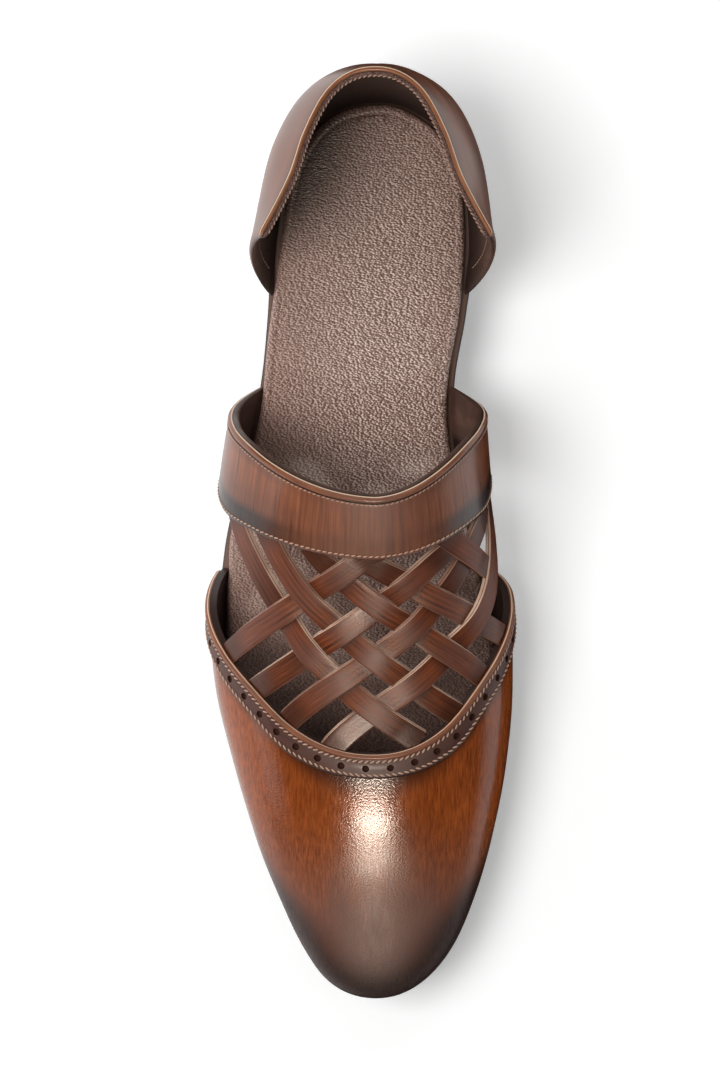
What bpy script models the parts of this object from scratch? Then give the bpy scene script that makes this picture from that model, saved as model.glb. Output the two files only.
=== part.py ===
# Closed-toe slip-on shoe for the right foot, with a woven leather instep and a separate heel counter.
# Metres, +Z up. The heel points along +Y, the toe along -Y, and the inner (medial) side along +X.
# Stations along the shoe are shares of the sole's length, from the back of the heel to the toe tip.
# Places across the upper run from -1, the outer (lateral) feather edge, over the ridge at 0,
# to 1, the inner (medial) feather edge. SWELL_LINE is where the upper is widest.

import math

import bmesh
import bpy
import numpy as np
from mathutils import Vector

# Driving sizes
SOLE_LENGTH = 0.297
BALL_WIDTH = 0.0962
INSTEP_HEIGHT = 0.066
HEEL_HEIGHT = 0.020
TOE_SPRING = 0.0105
TOE_SWING = 0.0015
OUTSOLE_THICKNESS = 0.0045
OUTSOLE_CHAMFER = 0.0007
FOOTBED_THICKNESS = 0.0042
FOOTBED_ROUND = 0.0018
LIFT_THICKNESS = 0.0060
HEEL_INSET = 0.0006
HEEL_TAPER = 0.0008
BREAST_HOLLOW = 0.0048
UPPER_WALL = 0.0022
BAND_WALL = 0.0032
BAND_STEP = 0.0008
TRIM_WIDTH = 0.0083
TRIM_THICKNESS = 0.0012
STRIP_WIDTH = 0.0080
STRIP_THICKNESS = 0.0017
STRIP_LIFT = 0.00075
LIFT_FADE = 0.0060
COUNTER_WALL = 0.0034
COUNTER_HEIGHT = 0.056
FEATHER_INSET = 0.0003
COUNTER_INSET = 0.0005
SEAM_GAP = 0.0003
TUCK_LENGTH = 0.0050
SHARP_ANGLE = 35

# Places along the shoe, as shares of the sole's length
BREAST_STATION = 0.293
LIFT_SPLIT_STATION = 0.129
WAIST_START, WAIST_END = 0.300, 0.620
SPRING_START = 0.720
SWING_START = 0.400
COUNTER_END = 0.225
INSET_BLEND_END = 0.270
FAN_START, FAN_END = 0.745, 0.875
SWELL_LINE = 0.80

# Numbers of stations
SOLE_STATIONS = 52
VAMP_STATIONS = 24
VAMP_ROWS = (1.0, 0.93, 0.86, 0.80, 0.70, 0.60, 0.50, 0.40, 0.30, 0.20, 0.10, 0.0)
BAND_ROWS = 36
BAND_COLUMNS = 3
TRIM_ROWS = 40
STRIP_STATIONS = 26
COUNTER_STATIONS = 15
COUNTER_ROWS = 8
BREAST_POINTS = 9

# Sole outline: station, then lateral and medial half widths as shares of the ball width
OUTLINE = [
    (0.000, 0.000, 0.000),
    (0.012, 0.167, 0.130),
    (0.040, 0.269, 0.243),
    (0.090, 0.348, 0.312),
    (0.160, 0.376, 0.325),
    (0.250, 0.388, 0.290),
    (0.330, 0.415, 0.251),
    (0.410, 0.473, 0.270),
    (0.500, 0.540, 0.335),
    (0.580, 0.564, 0.402),
    (0.660, 0.551, 0.430),
    (0.740, 0.493, 0.417),
    (0.820, 0.413, 0.373),
    (0.890, 0.319, 0.313),
    (0.945, 0.236, 0.243),
    (0.982, 0.152, 0.150),
    (1.000, 0.000, 0.000),
]
LATERAL, MEDIAL = range(1, 3)

# Sections of the upper: station, swell past the sole on the lateral and the medial side (shares of
# the ball width), height of the widest line and of the ridge (shares of the instep height),
# sideways place of the ridge (share of the ball width), and fullness of the arch over the foot
SECTIONS = [
    (0.28, 0.055, 0.085, 0.30, 1.16, 0.000, 1.85),
    (0.36, 0.062, 0.104, 0.30, 1.10, 0.000, 1.85),
    (0.43, 0.048, 0.092, 0.28, 1.03, 0.005, 1.90),
    (0.50, 0.030, 0.072, 0.26, 0.96, 0.005, 1.95),
    (0.57, 0.022, 0.050, 0.24, 0.87, 0.000, 2.00),
    (0.64, 0.016, 0.028, 0.22, 0.780, -0.008, 2.05),
    (0.72, 0.012, 0.020, 0.21, 0.685, -0.015, 2.10),
    (0.80, 0.014, 0.019, 0.19, 0.580, -0.016, 2.15),
    (0.87, 0.021, 0.020, 0.17, 0.485, -0.016, 2.15),
    (1.00, 0.012, 0.012, 0.15, 0.360, -0.016, 2.15),
]
SWELL_LATERAL, SWELL_MEDIAL, SWELL_HEIGHT, RIDGE_HEIGHT, RIDGE_SIDE, FULLNESS = range(1, 7)

# Edges of the upper's pieces: distance across from the ridge, then the station of each edge
VAMP_EDGE = [(0.00, 0.730), (0.10, 0.726), (0.25, 0.704), (0.40, 0.662), (0.55, 0.622),
             (0.65, 0.597), (0.77, 0.569), (0.90, 0.544), (1.00, 0.527)]
BAND_REAR = [(0.00, 0.449), (0.20, 0.438), (0.43, 0.406), (0.65, 0.376), (0.80, 0.358),
             (1.00, 0.326)]
BAND_FRONT = [(0.00, 0.517), (0.20, 0.509), (0.41, 0.489), (0.60, 0.469), (0.80, 0.438),
              (1.00, 0.404)]

# Woven strips: four places on each, as station and place across, from one end to the other.
# The slanting family runs from the lateral vamp edge up to the band, the other from the band down
# to the medial vamp edge.
SLANT_STRIPS = [
    ((0.614, -0.512), (0.583, -0.331), (0.551, -0.179), (0.517, -0.036)),
    ((0.654, -0.378), (0.613, -0.169), (0.569, 0.019), (0.519, 0.278)),
    ((0.686, -0.256), (0.630, -0.013), (0.562, 0.274), (0.478, 0.586)),
    ((0.718, -0.117), (0.650, 0.162), (0.569, 0.491), (0.462, 0.715)),
]
CROSS_STRIPS = [
    ((0.470, -0.547), (0.564, -0.332), (0.646, -0.126), (0.709, 0.124)),
    ((0.488, -0.382), (0.567, -0.194), (0.632, 0.024), (0.683, 0.299)),
    ((0.516, -0.182), (0.566, -0.006), (0.607, 0.210), (0.644, 0.450)),
    ((0.527, -0.003), (0.559, 0.215), (0.584, 0.426), (0.605, 0.660)),
    ((0.497, 0.330), (0.509, 0.405), (0.520, 0.475), (0.531, 0.560)),
]

# Place of each strip in the over-and-under order. The short last cross strip, which ends under
# a slanting one, skips a place.
SLANT_ORDER = (0, 1, 2, 3)
CROSS_ORDER = (0, 1, 2, 3, 5)

# Heel counter: station of the foot of the wall, station and half width of the topline above it
# (share of the ball width), outward bow and height (shares of the ball width and counter height)
COUNTER = [
    (0.000, -0.014, 0.000, 0.040, 1.00),
    (0.012, -0.006, 0.100, 0.048, 1.00),
    (0.040, 0.014, 0.170, 0.056, 0.99),
    (0.090, 0.056, 0.240, 0.060, 0.965),
    (0.160, 0.108, 0.300, 0.066, 0.90),
    (0.225, 0.156, 0.352, 0.086, 0.83),
]
TOP_STATION, TOP_HALF_WIDTH, COUNTER_BOW, COUNTER_RISE = range(1, 5)
BOW_SHARE = 0.8

# The trim strip stops this far down the upper's side, just above the outsole
TRIM_FOOT = 0.98


def clear_scene():
    for item in list(bpy.data.objects):
        bpy.data.objects.remove(item, do_unlink=True)


def as_is(value):
    return value


def squared(value):
    """Measure for tables that are mirrored at their first row, so that they pass it level."""
    return np.square(value)


def turn(station):
    """Angle that spreads stations so that round ends of an outline come out round."""
    return np.arccos(np.clip(1 - 2 * np.asarray(station, float), -1, 1))


def station_of(angle):
    return (1 - np.cos(angle)) / 2


def curve(rows, column, place, measure=as_is):
    """Smooth curve through one column of a table, read at the given places of its first column."""
    known = measure(np.array([row[0] for row in rows], float))
    value = np.array([row[column] for row in rows], float)
    place = measure(np.asarray(place, float))
    step = np.diff(known)
    rise = np.diff(value) / step
    slope = np.empty_like(value)
    slope[1:-1] = (rise[:-1] * step[1:] + rise[1:] * step[:-1]) / (step[:-1] + step[1:])
    slope[0] = 2 * rise[0] - slope[1]
    slope[-1] = 2 * rise[-1] - slope[-2]
    i = np.clip(np.searchsorted(known, place) - 1, 0, len(known) - 2)
    s = (place - known[i]) / step[i]
    start = value[i] * (1 + 2 * s) * (1 - s) ** 2 + slope[i] * step[i] * s * (1 - s) ** 2
    end = value[i + 1] * s * s * (3 - 2 * s) + slope[i + 1] * step[i] * s * s * (s - 1)
    return start + end


def smooth_step(share):
    share = np.clip(share, 0, 1)
    return share * share * (3 - 2 * share)


def sole_edge(station, side):
    """Plan place of the sole's edge. side is -1 for lateral and 1 for medial."""
    station = np.asarray(station, float)
    lateral = -curve(OUTLINE, LATERAL, station, turn) * BALL_WIDTH
    medial = curve(OUTLINE, MEDIAL, station, turn) * BALL_WIDTH
    swing = TOE_SWING * np.clip((station - SWING_START) / (1 - SWING_START), 0, 1) ** 2
    return np.where(np.asarray(side) < 0, lateral, medial) - swing, -station * SOLE_LENGTH


def edge_outward(station, side):
    """Outward direction of the sole's edge in plan."""
    reach = 1e-3
    angle = turn(station)
    before = station_of(np.clip(angle - reach, 1e-4, math.pi - 1e-4))
    after = station_of(np.clip(angle + reach, 1e-4, math.pi - 1e-4))
    x0, y0 = sole_edge(before, side)
    x1, y1 = sole_edge(after, side)
    length = np.hypot(x1 - x0, y1 - y0) + 1e-12
    sign = np.where(np.asarray(side) < 0, -1.0, 1.0)
    return -sign * (y1 - y0) / length, sign * (x1 - x0) / length


def floor_profile(station):
    """Height of the outsole's underside above the floor."""
    station = np.asarray(station, float)
    waist = HEEL_HEIGHT * (1 - smooth_step((station - WAIST_START) / (WAIST_END - WAIST_START)))
    spring = np.clip((station - SPRING_START) / (1 - SPRING_START), 0, None)
    return waist + TOE_SPRING * spring ** 2


def seat(station):
    """Height at which the footbed and the upper meet the outsole."""
    return floor_profile(station) + OUTSOLE_THICKNESS + SEAM_GAP


def ridge_station(station):
    """Place on the ridge that a section starts from. Toe sections fan out of a short stretch."""
    share = np.clip((station - FAN_START) / (1 - FAN_START), 0, 1)
    power = (1 - FAN_START) / (FAN_END - FAN_START)
    fan = FAN_START + (FAN_END - FAN_START) * (1 - (1 - share) ** power)
    return np.where(station <= FAN_START, station, fan)


def ridge_level(station):
    return seat(station) + curve(SECTIONS, RIDGE_HEIGHT, station) * INSTEP_HEIGHT


def form(station, across):
    """Point of the upper's outer face: a swell above the sole, then an arch up to the ridge."""
    station, across = np.broadcast_arrays(np.asarray(station, float), np.asarray(across, float))
    side = np.where(across < 0, -1.0, 1.0)
    edge_x, edge_y = sole_edge(station, side)
    out_x, out_y = edge_outward(station, side)
    lateral = curve(SECTIONS, SWELL_LATERAL, station)
    medial = curve(SECTIONS, SWELL_MEDIAL, station)
    swell = np.where(side < 0, lateral, medial) * BALL_WIDTH
    swell_height = curve(SECTIONS, SWELL_HEIGHT, station) * INSTEP_HEIGHT
    foot_x, foot_y = edge_x - out_x * FEATHER_INSET, edge_y - out_y * FEATHER_INSET
    wide_x, wide_y = edge_x + out_x * swell, edge_y + out_y * swell
    foot_z = seat(station)

    start = ridge_station(station)
    ridge_x = curve(SECTIONS, RIDGE_SIDE, start) * BALL_WIDTH
    ridge_y = -start * SOLE_LENGTH
    ridge_z = ridge_level(start)
    reach = 1e-3
    rise = ridge_level(start + reach) - ridge_level(start - reach)
    slope = -rise / (2 * reach * SOLE_LENGTH)
    power = 2 / curve(SECTIONS, FULLNESS, start)

    distance = np.abs(across)
    up = np.clip((1 - distance) / (1 - SWELL_LINE), 0, 1)
    outward = 1 - (1 - up) ** 2
    low = (foot_x + (wide_x - foot_x) * outward, foot_y + (wide_y - foot_y) * outward,
           foot_z + swell_height * up)

    angle = np.clip(1 - distance / SWELL_LINE, 0, 1) * math.pi / 2
    along = np.clip(np.cos(angle), 0, 1) ** power
    upward = np.clip(np.sin(angle), 0, 1) ** power
    arch_x = ridge_x + (wide_x - ridge_x) * along
    arch_y = ridge_y + (wide_y - ridge_y) * along
    wide_z = foot_z + swell_height - slope * (wide_y - ridge_y)
    arch_z = wide_z + (ridge_z - wide_z) * upward + slope * (arch_y - ridge_y)

    below = distance > SWELL_LINE
    high = (arch_x, arch_y, arch_z)
    return np.stack([np.where(below, a, b) for a, b in zip(low, high)], axis=-1)


def form_outward(station, across):
    """Outward direction of the upper's outer face, away from the toe tip."""
    reach = 2e-3
    station, across = np.broadcast_arrays(np.asarray(station, float), np.asarray(across, float))
    over = form(station, np.clip(across + reach, -1, 1)) - form(station, np.clip(across - reach, -1, 1))
    along = form(station + reach, across) - form(station - reach, across)
    normal = np.cross(along, over)
    normal /= np.linalg.norm(normal, axis=-1, keepdims=True)
    return normal


def material(name, colour, roughness, metallic=0.0):
    finish = bpy.data.materials.new(name)
    finish.use_nodes = True
    shader = finish.node_tree.nodes["Principled BSDF"]
    shader.inputs["Base Color"].default_value = (*colour, 1.0)
    shader.inputs["Roughness"].default_value = roughness
    shader.inputs["Metallic"].default_value = metallic
    finish.diffuse_color = (*colour, 1.0)
    return finish


def face_away(work):
    """Turn an open wall's faces away from the middle of its points, if they face it."""
    middle = sum((vertex.co for vertex in work.verts), Vector()) / len(work.verts)
    work.normal_update()
    facing = sum((face.calc_center_median() - middle).dot(face.normal) * face.calc_area()
                 for face in work.faces)
    if facing < 0:
        bmesh.ops.reverse_faces(work, faces=work.faces)


def add_object(name, points, faces, finish, closed=True):
    """One mesh object, with doubled points merged and its faces turned outwards."""
    mesh = bpy.data.meshes.new(name)
    work = bmesh.new()
    corners = [work.verts.new(point) for point in points]
    work.verts.ensure_lookup_table()
    for face in faces:
        if len({id(corners[i]) for i in face}) > 2:
            work.faces.new([corners[i] for i in face])
    bmesh.ops.remove_doubles(work, verts=work.verts, dist=2e-6)
    bmesh.ops.dissolve_degenerate(work, edges=work.edges, dist=1e-7)
    loose = [v for v in work.verts if not v.link_faces]
    bmesh.ops.delete(work, geom=loose, context="VERTS")
    if closed:
        bmesh.ops.recalc_face_normals(work, faces=work.faces)
    else:
        face_away(work)
    work.to_mesh(mesh)
    work.free()
    thing = bpy.data.objects.new(name, mesh)
    bpy.context.collection.objects.link(thing)
    mesh.materials.append(finish)
    mesh.shade_smooth()
    mesh.set_sharp_from_angle(angle=math.radians(SHARP_ANGLE))
    return thing


def grid_faces(rows, columns, start=0):
    faces = []
    for i in range(rows - 1):
        for j in range(columns - 1):
            a = start + i * columns + j
            faces.append((a, a + 1, a + columns + 1, a + columns))
    return faces


def settle(thing):
    """Replace an object's mesh by its evaluated one and drop its modifiers."""
    bpy.context.view_layer.update()
    graph = bpy.context.evaluated_depsgraph_get()
    old = thing.data
    thing.data = bpy.data.meshes.new_from_object(thing.evaluated_get(graph))
    thing.data.name = thing.name
    thing.modifiers.clear()
    bpy.data.meshes.remove(old)


def wall_from_face(name, points, faces, thickness, finish):
    """A wall that grows inwards from its outer face."""
    thing = add_object(name, points, faces, finish, closed=False)
    wall = thing.modifiers.new("Wall", "SOLIDIFY")
    wall.thickness = thickness
    wall.offset = -1
    wall.use_even_offset = True
    settle(thing)
    return thing


def union(base, others):
    """Join other closed solids into the base one by one."""
    for other in others:
        cut = base.modifiers.new("Join", "BOOLEAN")
        cut.operation = "UNION"
        cut.solver = "EXACT"
        cut.use_self = True
        cut.object = other
        settle(base)
        mesh = other.data
        bpy.data.objects.remove(other, do_unlink=True)
        bpy.data.meshes.remove(mesh)


def sole_stations(first=0.0, last=1.0, count=SOLE_STATIONS):
    return station_of(np.linspace(turn(first), turn(last), count))


def inset_edge(station, side, inset):
    x, y = sole_edge(station, side)
    out_x, out_y = edge_outward(station, side)
    return x - out_x * inset, y - out_y * inset


def edge_ring(stations, inset, level):
    """Closed ring round the sole: up the lateral side to the toe and back down the medial side."""
    lateral = inset_edge(stations, -1, inset)
    medial = inset_edge(stations[::-1][1:-1], 1, inset if np.isscalar(inset) else inset[::-1][1:-1])
    height = level if not np.isscalar(level) else np.full(len(stations), level)
    left = np.stack([lateral[0], lateral[1], height], axis=-1)
    right = np.stack([medial[0], medial[1], height[::-1][1:-1]], axis=-1)
    return np.concatenate([left, right])


def layer(name, stations, rings, finish):
    """Solid layer of the sole from a stack of rings, closed by rows of quads across."""
    points = np.concatenate(rings)
    size = len(rings[0])
    faces = []
    for k in range(len(rings) - 1):
        for j in range(size):
            a, b = k * size + j, k * size + (j + 1) % size
            faces.append((a, b, b + size, a + size))
    count = len(stations)
    for start in (0, (len(rings) - 1) * size):
        for j in range(count - 1):
            left, ahead = start + j, start + j + 1
            right = start + (size - j) % size
            right_ahead = start + size - j - 1
            if j == 0:
                faces.append((left, ahead, right_ahead))
            elif j == count - 2:
                faces.append((left, ahead, right))
            else:
                faces.append((left, ahead, right_ahead, right))
    return add_object(name, points, faces, finish)


def make_outsole(finish):
    stations = sole_stations()
    under = floor_profile(stations)
    rings = [
        edge_ring(stations, OUTSOLE_CHAMFER, under),
        edge_ring(stations, 0.0, under + OUTSOLE_CHAMFER),
        edge_ring(stations, 0.0, under + OUTSOLE_THICKNESS - OUTSOLE_CHAMFER),
        edge_ring(stations, OUTSOLE_CHAMFER, under + OUTSOLE_THICKNESS),
    ]
    return layer("outsole", stations, rings, finish)


def footbed_inset(stations):
    """The footbed stays inside the counter's wall at the heel and inside the upper's wall ahead."""
    heel = COUNTER_INSET + COUNTER_WALL + 2 * SEAM_GAP
    fore = FEATHER_INSET + UPPER_WALL + 2 * SEAM_GAP
    band = FEATHER_INSET + BAND_WALL - BAND_STEP + 2 * SEAM_GAP
    blend = smooth_step((stations - COUNTER_END) / (INSET_BLEND_END - COUNTER_END))
    return heel + (max(fore, band) - heel) * blend


def make_footbed(finish):
    stations = sole_stations()
    base = seat(stations)
    inset = footbed_inset(stations)
    side = FOOTBED_THICKNESS - FOOTBED_ROUND
    rings = [edge_ring(stations, inset, base), edge_ring(stations, inset, base + side)]
    for share in (0.5, 1.0):
        angle = share * math.pi / 2
        rings.append(edge_ring(stations, inset + FOOTBED_ROUND * (1 - math.cos(angle)),
                               base + side + FOOTBED_ROUND * math.sin(angle)))
    return layer("footbed", stations, rings, finish)


def heel_outline(first, last, inset, hollow):
    """Heel outline between two stations. hollow draws in the front line, towards the heel's back."""
    stations = sole_stations(first, last, COUNTER_STATIONS)
    lateral = np.stack(inset_edge(stations, -1, inset), axis=-1)
    medial = np.stack(inset_edge(stations[::-1], 1, inset), axis=-1)
    left, right = lateral[-1], medial[0]
    share = np.linspace(0, 1, BREAST_POINTS)[1:-1, None]
    front = left + (right - left) * share
    front[:, 1] += hollow * np.sin(math.pi * share[:, 0])
    closed = first == 0.0
    return np.concatenate([lateral, front, medial[:-1] if closed else medial])


def heel_piece(name, first, last, low, high, insets, hollow, finish):
    rings = []
    for level, inset in zip((low, high), insets):
        plan = heel_outline(first, last, inset, hollow)
        rings.append(np.column_stack([plan, np.full(len(plan), level)]))
    size = len(rings[0])
    faces = [tuple(range(size)), tuple(range(size, 2 * size))]
    for j in range(size):
        k = (j + 1) % size
        faces.append((j, k, k + size, j + size))
    return add_object(name, np.concatenate(rings), faces, finish)


def make_heel(stack_finish, front_finish, rear_finish):
    joint_level = LIFT_THICKNESS
    ground_inset = HEEL_INSET + HEEL_TAPER
    split_gap = SEAM_GAP / 2 / SOLE_LENGTH
    heel_piece("heel_block", 0.0, BREAST_STATION, joint_level + SEAM_GAP, HEEL_HEIGHT - SEAM_GAP,
               (ground_inset, HEEL_INSET), BREAST_HOLLOW, stack_finish)
    heel_piece("heel_lift_front", LIFT_SPLIT_STATION + split_gap, BREAST_STATION, 0.0, joint_level,
               (ground_inset, ground_inset), BREAST_HOLLOW, front_finish)
    heel_piece("heel_lift_rear", 0.0, LIFT_SPLIT_STATION - split_gap, 0.0, joint_level,
               (ground_inset, ground_inset), 0.0, rear_finish)


def make_vamp_wall(finish):
    """Toe and sides of the upper, from its curved topline down to the feather edge."""
    rows = np.array(VAMP_ROWS)[:, None]
    edge = curve(VAMP_EDGE, 1, rows, squared)
    share = np.linspace(0, 1, VAMP_STATIONS)[None, :]
    stations = station_of(turn(edge) + (math.pi - turn(edge)) * share)
    lateral = form(stations, -rows - 1e-9)
    medial = form(stations[:, ::-1], rows + 1e-9)
    points = np.concatenate([lateral, medial[:, 1:]], axis=1)
    columns = points.shape[1]
    faces = grid_faces(len(VAMP_ROWS), columns)
    return wall_from_face("upper", points.reshape(-1, 3), faces, UPPER_WALL, finish)


def make_band_wall(finish):
    """Wide band over the instep, a step higher than the weave."""
    across = np.linspace(-1, 1, BAND_ROWS + 1)[:, None]
    rear = curve(BAND_REAR, 1, across, squared)
    front = curve(BAND_FRONT, 1, across, squared)
    stations = rear + (front - rear) * np.linspace(0, 1, BAND_COLUMNS)[None, :]
    across = across + np.zeros_like(stations)
    points = form(stations, across) + BAND_STEP * form_outward(stations, across)
    points[[0, -1], :, 2] = seat(stations[[0, -1]])
    faces = grid_faces(BAND_ROWS + 1, BAND_COLUMNS)
    return wall_from_face("band", points.reshape(-1, 3), faces, BAND_WALL, finish)


def strip_route(places, share):
    """Cubic through a strip's four places, as station and place across."""
    known = (0.0, 1 / 3, 2 / 3, 1.0)
    total = 0
    for i, place in enumerate(places):
        weight = 1.0
        for j, other in enumerate(known):
            if j != i:
                weight = weight * (share - other) / (known[i] - other)
        total = total + weight[..., None] * np.array(place)
    return total


def route_length(places):
    route = strip_route(places, np.linspace(0, 1, 60))
    points = form(route[:, 0], route[:, 1])
    return np.linalg.norm(np.diff(points, axis=0), axis=1).sum()


def crossing(first, second):
    """Shares along two strips at which they cross, or None."""
    share = np.linspace(0, 1, 121)
    a = strip_route(first, share)
    b = strip_route(second, share)
    gap = np.hypot(a[:, None, 0] - b[None, :, 0], (a[:, None, 1] - b[None, :, 1]) / 4)
    i, j = np.unravel_index(np.argmin(gap), gap.shape)
    return (share[i], share[j]) if gap[i, j] < 0.004 else None


def weave_lifts(strips, order, others, other_order, first_sign):
    """For each strip, its crossings as share and side: 1 over, -1 under, by turns."""
    lifts = []
    for strip, i in zip(strips, order):
        row = []
        for other, j in zip(others, other_order):
            met = crossing(strip, other)
            if met is not None and 0 < met[0] < 1:
                row.append((met[0], first_sign * (1 if (i + j) % 2 == 0 else -1)))
        lifts.append(sorted(row))
    return lifts


def strip_solid(name, places, lifts, finish):
    """One leather strip, swept along its route and bowed over and under the strips it meets."""
    length = route_length(places)
    tuck = TUCK_LENGTH / length
    share = np.linspace(-tuck, 1 + tuck, STRIP_STATIONS)
    known = [-tuck, 0.0] + [lift[0] for lift in lifts] + [1.0, 1 + tuck]
    value = [0.0, 0.0] + [lift[1] for lift in lifts] + [0.0, 0.0]
    i = np.clip(np.searchsorted(known, share) - 1, 0, len(known) - 2)
    known, value = np.array(known), np.array(value)
    step = smooth_step((share - known[i]) / (known[i + 1] - known[i]))
    fade = smooth_step(np.minimum(share, 1 - share) * length / LIFT_FADE)
    lift = STRIP_LIFT * fade * (value[i] + (value[i + 1] - value[i]) * step)
    route = strip_route(places, share)
    outward = form_outward(route[:, 0], route[:, 1])
    middle = form(route[:, 0], route[:, 1]) + outward * (lift - UPPER_WALL / 2)[:, None]
    along = np.gradient(middle, axis=0)
    wide = np.cross(outward, along)
    wide /= np.linalg.norm(wide, axis=1, keepdims=True)
    half_width, half_thickness = STRIP_WIDTH / 2, STRIP_THICKNESS / 2
    corners = [middle + wide * half_width * a + outward * half_thickness * b
               for a, b in ((-1, -1), (1, -1), (1, 1), (-1, 1))]
    points = np.stack(corners, axis=1).reshape(-1, 3)
    faces = [(0, 1, 2, 3)]
    for k in range(STRIP_STATIONS - 1):
        for j in range(4):
            a, b = 4 * k + j, 4 * k + (j + 1) % 4
            faces.append((a, b, b + 4, a + 4))
    last = 4 * (STRIP_STATIONS - 1)
    faces.append((last, last + 1, last + 2, last + 3))
    return add_object(name, points, faces, finish)


def make_upper(finish):
    """Vamp, woven strips and instep band, joined into one hollow wall."""
    upper = make_vamp_wall(finish)
    pieces = [make_band_wall(finish)]
    slant, cross = (SLANT_STRIPS, SLANT_ORDER), (CROSS_STRIPS, CROSS_ORDER)
    for (strips, order), (others, other_order), sign in ((slant, cross, 1), (cross, slant, -1)):
        lifts = weave_lifts(strips, order, others, other_order, sign)
        for strip, strip_lifts in zip(strips, lifts):
            pieces.append(strip_solid("strip", strip, strip_lifts, finish))
    union(upper, pieces)
    return upper


def make_trim(finish):
    """Punched trim strip laid on the vamp along its topline."""
    across = np.linspace(-TRIM_FOOT, TRIM_FOOT, TRIM_ROWS + 1)[:, None]
    edge = curve(VAMP_EDGE, 1, across, squared)
    reach = 0.01
    before, after = across - reach, across + reach
    tangent = form(curve(VAMP_EDGE, 1, after, squared), after)
    tangent -= form(curve(VAMP_EDGE, 1, before, squared), before)
    tangent /= np.linalg.norm(tangent, axis=-1, keepdims=True)
    ahead = form(edge + reach, across) - form(edge, across)
    lean = (ahead * tangent).sum(axis=-1, keepdims=True)
    square = np.linalg.norm(ahead - tangent * lean, axis=-1)
    width = TRIM_WIDTH * reach / square
    stations = edge + width * np.linspace(0, 1, 3)[None, :]
    across = across + np.zeros_like(stations)
    lift = SEAM_GAP + TRIM_THICKNESS
    points = form(stations, across) + lift * form_outward(stations, across)
    faces = grid_faces(TRIM_ROWS + 1, 3)
    return wall_from_face("brogue_trim", points.reshape(-1, 3), faces, TRIM_THICKNESS, finish)


def counter_face(station, side, height):
    """Outer face of the heel counter. height runs from 0 at the sole to 1 at the topline."""
    x, y = sole_edge(station, side)
    out_x, out_y = edge_outward(station, side)
    foot_x, foot_y = x - out_x * COUNTER_INSET, y - out_y * COUNTER_INSET
    top_x = side * curve(COUNTER, TOP_HALF_WIDTH, station, turn) * BALL_WIDTH
    top_y = -curve(COUNTER, TOP_STATION, station, turn) * SOLE_LENGTH
    bow = curve(COUNTER, COUNTER_BOW, station, turn) * BALL_WIDTH
    bow = bow * np.sin(math.pi * height ** BOW_SHARE)
    backward = np.sin(height * math.pi / 2)
    rise = curve(COUNTER, COUNTER_RISE, station, turn) * COUNTER_HEIGHT
    return np.stack([
        foot_x + (top_x - foot_x) * height + out_x * bow,
        foot_y + (top_y - foot_y) * backward + out_y * bow,
        seat(station) + rise * height,
    ], axis=-1)


def make_counter(finish):
    """Cup round the heel with flared wings, separate from the rest of the upper."""
    stations = sole_stations(0.0, COUNTER_END, COUNTER_STATIONS)[None, :]
    height = np.linspace(0, 1, COUNTER_ROWS)[:, None]
    lateral = counter_face(stations[:, ::-1], -1.0, height)
    medial = counter_face(stations, 1.0, height)
    points = np.concatenate([lateral, medial[:, 1:]], axis=1)
    faces = grid_faces(COUNTER_ROWS, points.shape[1])
    return wall_from_face("heel_counter", points.reshape(-1, 3), faces, COUNTER_WALL, finish)


def centre_on_floor():
    """Move every mesh so that the middle of the whole shoe's box stands over the origin."""
    things = [thing for thing in bpy.data.objects if thing.type == "MESH"]
    corners = np.array([vertex.co for thing in things for vertex in thing.data.vertices])
    low, high = corners.min(axis=0), corners.max(axis=0)
    middle = (low + high) / 2
    for thing in things:
        for vertex in thing.data.vertices:
            vertex.co.x -= middle[0]
            vertex.co.y -= middle[1]


def build():
    clear_scene()
    leather = material("Burnished leather", (0.26, 0.09, 0.03), 0.35)
    dark_leather = material("Dark trim leather", (0.10, 0.045, 0.03), 0.40)
    lining = material("Footbed leather", (0.13, 0.08, 0.06), 0.50)
    rubber = material("Outsole rubber", (0.035, 0.030, 0.028), 0.45)
    stack = material("Heel stack", (0.06, 0.035, 0.025), 0.50)
    lift_front = material("Stippled lift rubber", (0.06, 0.058, 0.055), 0.75)
    lift_rear = material("Hard lift rubber", (0.015, 0.015, 0.015), 0.55)

    make_outsole(rubber)
    make_heel(stack, lift_front, lift_rear)
    make_footbed(lining)
    make_upper(leather)
    make_trim(dark_leather)
    make_counter(leather)
    centre_on_floor()


build()
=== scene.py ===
# The right shoe of the pair in the photograph, seen from above with its toe down, dressed over
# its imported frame. Metres, +Z up, heel along +Y, toe along -Y, inner side of the foot along +X.
# Stations are shares of the sole's length from the heel; places across run from -1, the outer
# feather edge, over the ridge at 0, to 1, the inner feather edge.

import math

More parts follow.
